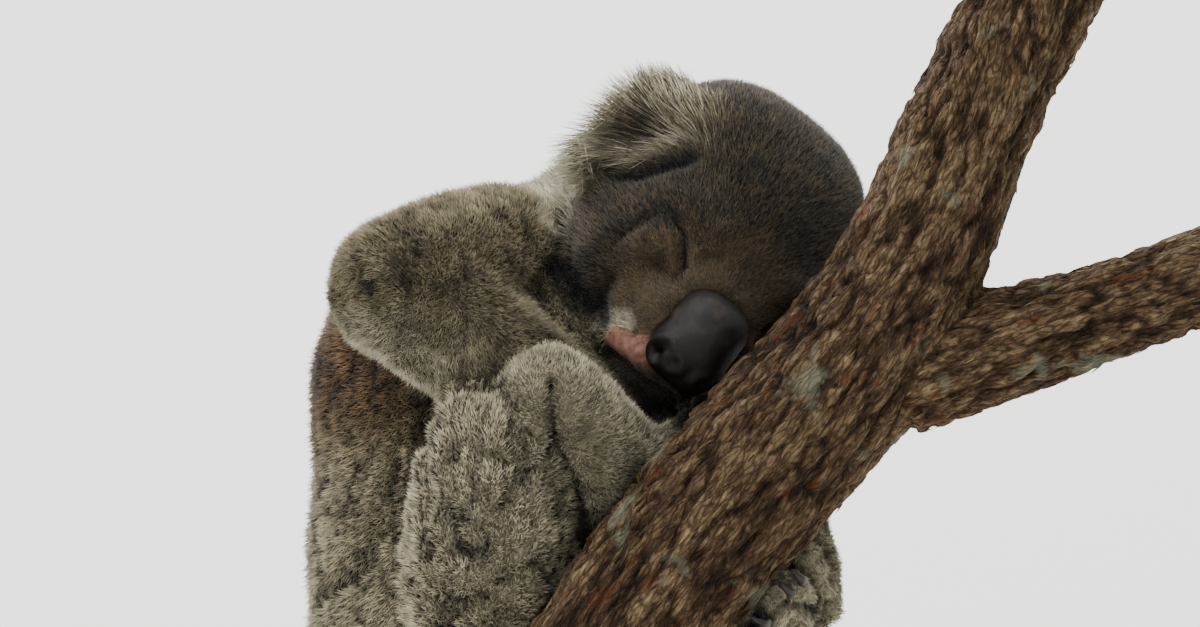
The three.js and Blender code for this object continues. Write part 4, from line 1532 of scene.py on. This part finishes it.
class Coat:
    """The fur: tufts that grow from the skin out to the solids' surface."""

    PIECES: dict[str, tuple[str, ...]] = {
        "coat_face": ("head",),
        "coat_crown": ("head",),
        "coat_ears": ("ear_right", "ear_left"),
        "coat_nape": ("neck",),
        "coat_chest": ("chest",),
        "coat_belly": ("belly",),
        "coat_rump": ("rump",),
        "coat_arm_right": ("arm_right_upper", "arm_right_fore"),
        "coat_arm_left": ("arm_left_upper", "arm_left_fore"),
        "coat_leg_right": ("leg_right_thigh", "leg_right_shin"),
        "coat_leg_left": ("leg_left_thigh", "leg_left_shin"),
        "coat_hands": ("hand_right", "hand_left"),
        "coat_feet": ("foot_right", "foot_left"),
    }
    FACE_FRONT = 34.0

    def __init__(self, skin: Skin, material: bpy.types.Material, seed: int = 7) -> None:
        """Keeps what the coat grows from.

        Args:
            skin: The finished skin.
            material: The fur's material.
            seed: Seed of the random draws.
        """
        self.skin = skin
        self.material = material
        self.rng = np.random.default_rng(seed)
        self.surface = Surface(skin.piece.data, skin.lie, skin.fields)

    def build(self) -> list[bpy.types.Object]:
        """Grows every piece of the coat.

        Returns:
            The pieces.
        """
        stored = tuple(key for key, fibre in MARKINGS.items() if fibre is not None)
        plush = Tufts(stored=stored, unruly=0.45, lock=4.0 * MM, pepper=0.1)
        fine = Tufts(stored=stored, lock=2.6 * MM, unruly=0.35, pepper=0.26)
        streaming = Tufts(stored=stored, rings=2, droop=0.25, lock=5.0 * MM, unruly=0.2, pepper=0.12)
        combed = Tufts(stored=stored, unruly=0.16, lock=5.0 * MM, pepper=0.08)
        makers = {
            "coat_face": fine,
            "coat_crown": fine,
            "coat_ears": streaming,
            "coat_feet": combed,
            "coat_hands": combed,
        }
        front = HEAD.seen_from(self.surface.places)[:, 0] > self.FACE_FRONT
        pieces = []
        for name, nodes in self.PIECES.items():
            share = self.skin.owned_by(*nodes)
            if name == "coat_face":
                share = share * front
            elif name == "coat_crown":
                share = share * ~front
            roots = self.surface.scatter(self.skin.fields["density"] * share, self.rng)
            self.vary(roots)
            self.crumble(roots)
            mesh = makers.get(name, plush).mesh(name, roots, self.rng)
            piece = bpy.data.objects.new(name, mesh)
            bpy.context.scene.collection.objects.link(piece)
            dress(piece, self.material)
            log.info("%s: %d triangles", name, len(mesh.polygons))
            pieces.append(piece)
        return pieces

    def vary(self, roots: Roots) -> None:
        """Mixes black, brown and whitish hairs where the coat is pied."""
        f = roots.fields
        draw = self.rng.random(len(roots.places))
        pied = f["pied"] > self.rng.random(len(roots.places))
        f["black"] = f["black"] * np.where(f["on_ear"] > 0.5, 0.7, 1.0)
        f["black"] = np.where(pied & (draw < 0.3), 0.9, f["black"])
        f["cream"] = np.where(pied & (draw > 0.55), 0.8, f["cream"])

    @staticmethod
    def crumble(roots: Roots) -> None:
        """Parts the wool into crumbs a few millimetres wide, with shorter hairs in between that are darkened
        as painted shade.
        """
        f = roots.fields
        gaps = Skin.wool_folds(roots.places, 4.6 * MM, 0.24, 63, 0.5)
        gaps *= np.clip(f["wool"] / 2.5, 0.12, 1.0) * (1.0 - f["on_ear"])
        # The gaps join the hollow share, which is darkened as painted shade.
        f["hollow"] = np.clip(f["hollow"] + gaps, 0.0, 1.4)
        f["length"] = f["length"] * (1.0 - 0.38 * gaps)

    @staticmethod
    def slot_of(name: str) -> str:
        """The record slot of a piece of the coat."""
        if name in ("coat_face", "coat_crown"):
            return "coat_head"
        if name == "coat_ears":
            return "coat_ear"
        pale = ("coat_leg_right", "coat_leg_left", "coat_hands", "coat_feet")
        return "coat_pale" if name in pale else "coat_body"


# ---------------------------------------------------------------- nose and claws


@dataclass
class NosePad:
    """The bare nose: a broad rounded pad with comma nostrils low on its sides, painted darker as shade in the
    nostrils and towards its underside.
    """

    voxel: float = 0.8 * MM
    rounding: int = 30
    swell: float = 1.2 * MM

    def build(self, material: bpy.types.Material) -> bpy.types.Object:
        """Makes the nose pad.

        Args:
            material: Its finish.

        Returns:
            The finished piece.
        """
        piece = joined_copy("nose", ["nose_pad"], self.swell)
        remesh(piece, self.voxel)
        mesh = piece.data
        edges = edges_of(mesh)
        places = smoothed(places_of(mesh), edges, self.rounding)
        set_places(mesh, places)
        head = HEAD.seen_from(places)
        rise = np.zeros(len(places))
        dark = np.zeros(len(places))
        # Each nostril is a dent, and its pit is darkened as painted shade.
        for side in (-1.0, 1.0):
            nostril_shade = [(84.0, side * 9.0, -40.0), (82.0, side * 15.0, -38.0), (80.0, side * 18.0, -43.0)]
            pit = np.exp(-((near_line(head, nostril_shade) / 3.4) ** 2))
            rise += 1.2 * np.exp(-(((near_line(head, nostril_shade) - 6.0) / 2.2) ** 2)) - 7.5 * pit
            dark = np.maximum(dark, pit)
        philtrum = [(90.0, 0.0, -36.0), (86.0, 0.0, -52.0)]
        rise -= 0.5 * np.exp(-((near_line(head, philtrum) / 1.6) ** 2))
        rise -= 3.5 * bump(head, (78.0, 26.0, -38.0), (14.0, 12.0, 14.0))
        rise += 1.5 * bump(head, (84.0, -2.0, -8.0), (10.0, 16.0, 8.0))
        rise += 0.1 * noise(head, 1.5, 41, 2)
        # Painted shade: the pad darkens towards its underside.
        dark = np.maximum(dark, 0.85 * smoothstep(-14.0, -42.0, head[:, 2]))
        set_places(mesh, places + normals_of(mesh) * (rise * MM)[:, None])
        set_attribute(mesh, "nostril_shade", dark)
        shade_smooth(mesh)
        dress(piece, material)
        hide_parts("nose_pad")
        return piece


@dataclass
class Claws:
    """The curved claws of one hand or foot, rounded from their solids."""

    paw: str
    levels: int = 2

    def build(self, material: bpy.types.Material) -> bpy.types.Object:
        """Makes the claws of this paw as one piece.

        Args:
            material: Their finish.

        Returns:
            The finished piece.
        """
        nodes = sorted(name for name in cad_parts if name.startswith(f"{self.paw}_claw_"))
        piece = joined_copy(f"claws_{self.paw}", nodes, 0.35 * MM)
        rounder = piece.modifiers.new("Subdivision", "SUBSURF")
        rounder.levels = self.levels
        rounder.render_levels = self.levels
        shade_smooth(piece.data)
        dress(piece, material)
        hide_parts(*nodes)
        return piece


# ---------------------------------------------------------------- the perch


@dataclass
class Limb:
    """One stretch of the perch: its CAD node and the axis that it mostly runs along."""

    node: str
    axis: int
    slices: int = 16
    order: int = 4
    samples: int = 90
    overrun: float = 0.09

    def middle_line(self) -> tuple[Array, Array]:
        """Cuts the solid across its axis, and runs a smooth line through the middles of the cuts.

        Returns:
            Points along the line, run on past both ends, and the limb's radius at each.
        """
        low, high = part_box(self.node)
        normal = Vector((0.0, 0.0, 0.0))
        normal[self.axis] = 1.0
        inset = 0.12 * (high[self.axis] - low[self.axis])
        middles = []
        radii = []
        for place in np.linspace(low[self.axis] + inset, high[self.axis] - inset, self.slices):
            solid = bmesh.new()
            solid.from_mesh(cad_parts[self.node].data)
            bmesh.ops.remove_doubles(solid, verts=solid.verts, dist=0.01 * MM)
            whole = [*solid.verts, *solid.edges, *solid.faces]
            cut = bmesh.ops.bisect_plane(solid, geom=whole, plane_co=normal * float(place), plane_no=normal)
            ring = np.array([item.co for item in cut["geom_cut"] if isinstance(item, bmesh.types.BMVert)])
            solid.free()
            middle = (ring.min(axis=0) + ring.max(axis=0)) / 2.0
            middles.append(middle)
            radii.append(np.sort(np.linalg.norm(ring - middle, axis=1))[: len(ring) // 2].mean())
        middles = np.array(middles)
        run = middles[:, self.axis]
        walk = np.linspace(run[0], run[-1], self.samples)
        line = np.column_stack(
            [np.polyval(np.polyfit(run, middles[:, k], self.order), walk) for k in range(3)]
        )
        girth = np.polyval(np.polyfit(run, np.array(radii), 1), walk)
        step = self.overrun / 12.0
        steps = np.arange(1, 13)[:, None] * step
        before = line[0] - unit(line[1] - line[0]) * steps[::-1]
        after = line[-1] + unit(line[-1] - line[-2]) * steps
        ends = np.ones(12)
        return np.vstack([before, line, after]), np.concatenate([ends * girth[0], girth, ends * girth[-1]])


class Perch:
    """The cut length of gum: stem, side limb and seat limb under one furrowed bark, with sawn ends."""

    LIMBS = (Limb("perch_stem", 2), Limb("perch_side_limb", 0, order=2), Limb("perch_seat_limb", 1, order=2))

    def __init__(self, voxel: float = 1.9 * MM, rounding: int = 8, squeeze: float = 0.31) -> None:
        """Keeps the sizes that the bark is made with.

        Args:
            voxel: Width of the bark's faces.
            rounding: How many rounds of smoothing melt the limbs into each other.
            squeeze: How much shorter the bark's pattern is taken along the limb than across it.
        """
        self.voxel = voxel
        self.rounding = rounding
        self.squeeze = squeeze

    def build(self, material: bpy.types.Material) -> list[bpy.types.Object]:
        """Makes the perch.

        Args:
            material: The bark's finish.

        Returns:
            The limbs as one piece, and the loose strips of bark on them.
        """
        nodes = [limb.node for limb in self.LIMBS]
        piece = joined_copy("perch", nodes, 0.4 * MM)
        remesh(piece, self.voxel)
        mesh = piece.data
        edges = edges_of(mesh)
        places = smoothed(places_of(mesh), edges, self.rounding)
        set_places(mesh, places)
        bark, along, radius, ends = self.bark_places(places, normals_of(mesh))
        height = smoothed(self.relief(bark), edges, 1)
        rise = height * (1.0 - ends) - 0.3
        set_places(mesh, places + normals_of(mesh) * (rise * MM)[:, None])
        # The bark's colour follows its height: darker in furrows as partly painted shade, paler on ridges as
        # partly painted highlight.
        level = np.clip(0.52 + height / 10.0, 0.0, 1.0)
        fields = {"bark_place": bark, "bark_height": level, "sawn": ends, "radius": radius}
        for name, values in fields.items():
            set_attribute(mesh, name, values)
        shade_smooth(mesh)
        unwrap(piece)
        dress(piece, material)
        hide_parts(*nodes)
        return [piece, self.strips(piece, along, fields, material)]

    @staticmethod
    def relief(bark: Array) -> Array:
        """The bark's height in millimetres: furrows between ridges, fibres on them and cracks across."""
        drift = np.stack([noise(bark, 0.03, 71 + axis) for axis in range(3)], axis=1)
        bark = bark + drift * 0.005
        ridges = np.exp(-((noise(bark, 0.0088, 23, 2) / 0.18) ** 2))
        fibres = np.exp(-((noise(bark, 0.0046, 24, 2) / 0.24) ** 2))
        stretched = bark * np.array([1.0, 1.0, 3.2])
        cracks = np.exp(-((noise(stretched, 0.012, 25) / 0.07) ** 2))
        return 1.1 * noise(bark, 0.02, 26) - 3.1 * ridges - 1.5 * fibres - 1.0 * cracks + 1.4

    def bark_places(self, places: Array, normals: Array) -> tuple[Array, Array, Array, Array]:
        """Places on the bark as if each limb were straight, its length squeezed so that strands run along.

        Args:
            places: Vertex places.
            normals: Vertex normals.

        Returns:
            The bark places, the limb's direction, the distance from its middle line, and the sawn share.
        """
        count = len(places)
        best = np.full(count, np.inf)
        bark = np.zeros((count, 3))
        along = np.zeros((count, 3))
        radius = np.zeros(count)
        for number, limb in enumerate(self.LIMBS):
            line, girth = limb.middle_line()
            heading = unit(np.gradient(line, axis=0))
            walked = np.concatenate([[0.0], np.cumsum(np.linalg.norm(np.diff(line, axis=0), axis=1))])
            closest = np.zeros(count, int)
            least = np.full(count, np.inf)
            for index, point in enumerate(line):
                gap = np.sum((places - point) ** 2, axis=1)
                closest = np.where(gap < least, index, closest)
                least = np.minimum(gap, least)
            way = heading[closest]
            reach = places - line[closest]
            forward = np.sum(reach * way, axis=1)
            off = reach - way * forward[:, None]
            reference = np.array([1.0, 0.0, 0.0]) if limb.axis == 1 else np.array([0.0, 1.0, 0.0])
            first = unit(reference - way * (way @ reference)[:, None])
            second = np.cross(way, first)
            run = (walked[closest] + forward) * self.squeeze + number * 0.5
            here = np.column_stack([np.sum(off * first, axis=1), np.sum(off * second, axis=1), run])
            distance = np.linalg.norm(off, axis=1)
            gap = distance - girth[closest]
            nearer = gap < best
            best = np.where(nearer, gap, best)
            bark[nearer] = here[nearer]
            along[nearer] = way[nearer]
            radius[nearer] = distance[nearer]
        facing = np.abs(np.sum(normals * along, axis=1))
        ends = smoothstep(0.72, 0.9, facing) * smoothstep(0.006, -0.002, best)
        return bark, along, radius, ends

    def strips(
        self, perch: bpy.types.Object, along: Array, fields: dict[str, Array], material: bpy.types.Material
    ) -> bpy.types.Object:
        """Loose fibrous strips that peel from the bark.

        Args:
            perch: The finished limbs.
            along: The limb's direction at each vertex.
            fields: The bark's fields.
            material: The bark's finish.

        Returns:
            The strips as one piece.
        """
        rng = np.random.default_rng(5)
        count = len(along)
        grown = {
            **fields,
            "length": np.full(count, 6.5),
            "width": np.full(count, 1.2),
            "lift": np.full(count, 0.03),
            "gather": np.zeros(count),
            "hollow": np.zeros(count),
            "tone": np.zeros(count),
        }
        surface = Surface(perch.data, along, grown)
        roots = surface.scatter(0.015 * (1.0 - fields["sawn"]), rng)
        turned = np.where(rng.random(len(roots.places)) < 0.5, -1.0, 1.0)
        roots.lie = roots.lie * turned[:, None]
        level = roots.fields["bark_height"] - 0.16 + rng.normal(0.0, 0.12, len(roots.places))
        roots.fields["bark_height"] = np.clip(level, 0.05, 1.0)
        maker = Tufts(rings=2, sunk=0.5 * MM, unruly=0.14, toss=0.025, stored=tuple(fields))
        mesh = maker.mesh("bark_strips", roots, rng)
        piece = bpy.data.objects.new("bark_strips", mesh)
        bpy.context.scene.collection.objects.link(piece)
        dress(piece, material)
        return piece


# ---------------------------------------------------------------- the stand


@dataclass
class Stand:
    """The display stand: a planed board with eased edges, and two steel rods in round flanges."""

    corner: float = 45.0 * MM
    edge: float = 3.0 * MM
    flange_radius: float = 19.0 * MM
    flange_height: float = 4.0 * MM

    def build(self, timber: bpy.types.Material, steel: bpy.types.Material) -> list[bpy.types.Object]:
        """Makes the board and dresses the rods.

        Args:
            timber: The board's finish.
            steel: The rods' finish.

        Returns:
            The new pieces.
        """
        pieces = [self.board(timber)]
        for node in ("stand_rod_front", "stand_rod_back"):
            pieces.append(self.rod(node, steel))
        return pieces

    def board(self, material: bpy.types.Material) -> bpy.types.Object:
        """The board, with round corners and a fine round along its edges."""
        low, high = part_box("stand_base")
        slab = bmesh.new()
        bmesh.ops.create_cube(slab, size=1.0)
        bmesh.ops.scale(slab, vec=high - low, verts=slab.verts)
        bmesh.ops.translate(slab, vec=(low + high) / 2.0, verts=slab.verts)
        upright = [edge for edge in slab.edges if abs(edge.verts[0].co.z - edge.verts[1].co.z) > TINY]
        bmesh.ops.bevel(
            slab, geom=upright, affect="EDGES", offset=self.corner, segments=14, profile=0.5, material=-1
        )
        level = [edge for edge in slab.edges if abs(edge.verts[0].co.z - edge.verts[1].co.z) < TINY]
        rims = [edge for edge in level if len(edge.link_faces) == 2 and abs(edge.calc_face_angle(0.0)) > 1.0]
        bmesh.ops.bevel(
            slab, geom=rims, affect="EDGES", offset=self.edge, segments=4, profile=0.5, material=-1
        )
        return self.finished(slab, "base_board", material, "stand_timber", "stand_base")

    def rod(self, node: str, material: bpy.types.Material) -> bpy.types.Object:
        """A turned rod from the board up into the wood, with a flange at its foot.

        Args:
            node: The CAD rod that it replaces.
            material: Its finish.

        Returns:
            The finished piece.
        """
        low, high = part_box(node)
        middle = (low + high) / 2.0
        radius = (high.x - low.x) / 2.0
        turned = bmesh.new()
        bmesh.ops.create_cone(
            turned, cap_ends=True, segments=48, radius1=radius, radius2=radius, depth=high.z - low.z
        )
        bmesh.ops.translate(turned, vec=middle, verts=turned.verts)
        flange = bmesh.ops.create_cone(
            turned,
            cap_ends=True,
            segments=64,
            radius1=self.flange_radius,
            radius2=self.flange_radius,
            depth=self.flange_height,
        )["verts"]
        foot = Vector((middle.x, middle.y, low.z + self.flange_height / 2.0))
        bmesh.ops.translate(turned, vec=foot, verts=flange)
        rims = [edge for edge in turned.edges if abs(edge.calc_face_angle(0.0)) > 1.0]
        bmesh.ops.bevel(
            turned, geom=rims, affect="EDGES", offset=0.8 * MM, segments=3, profile=0.5, material=-1
        )
        return self.finished(turned, node.replace("stand_rod", "rod"), material, "stand_steel", node)

    @staticmethod
    def finished(
        shape: bmesh.types.BMesh, name: str, material: bpy.types.Material, slot: str, node: str
    ) -> bpy.types.Object:
        """Turns a bmesh into a dressed piece that stands for a CAD node.

        Args:
            shape: The finished bmesh, which is freed.
            name: The piece's name.
            material: Its finish.
            slot: The record slot of its finish. Not used.
            node: The CAD node that it replaces.

        Returns:
            The finished piece.
        """
        mesh = bpy.data.meshes.new(name)
        shape.to_mesh(mesh)
        shape.free()
        shade_smooth(mesh)
        mesh.set_sharp_from_angle(angle=math.radians(50.0))
        piece = bpy.data.objects.new(name, mesh)
        bpy.context.scene.collection.objects.link(piece)
        dress(piece, material)
        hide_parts(node)
        return piece


# ---------------------------------------------------------------- main


def main() -> None:
    """Builds the studio, the stand, the perch and the sleeper in order."""
    logging.basicConfig(level=logging.INFO, format="%(message)s")
    STUDIO.build()
    log.info("studio built")
    for piece in Stand().build(OiledTimber().material(), BrushedSteel().material()):
        log.info("%s: %d faces", piece.name, len(piece.data.polygons))
    for piece in Perch().build(GumBark().material()):
        log.info("%s: %d faces", piece.name, len(piece.data.polygons))
    nose = NosePad().build(NoseLeather().material())
    log.info("%s: %d faces", nose.name, len(nose.data.polygons))
    horn = ClawHorn().material()
    for paw in ("hand_right", "hand_left", "foot_right", "foot_left"):
        log.info("%s built", Claws(paw).build(horn).name)
    skin = Skin()
    piece = skin.build()
    dress(piece, Hide().material())
    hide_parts(*FLESH)
    log.info("%s: %d faces", piece.name, len(piece.data.polygons))
    Coat(skin, Fur().material()).build()


if __name__ == "__main__":
    main()
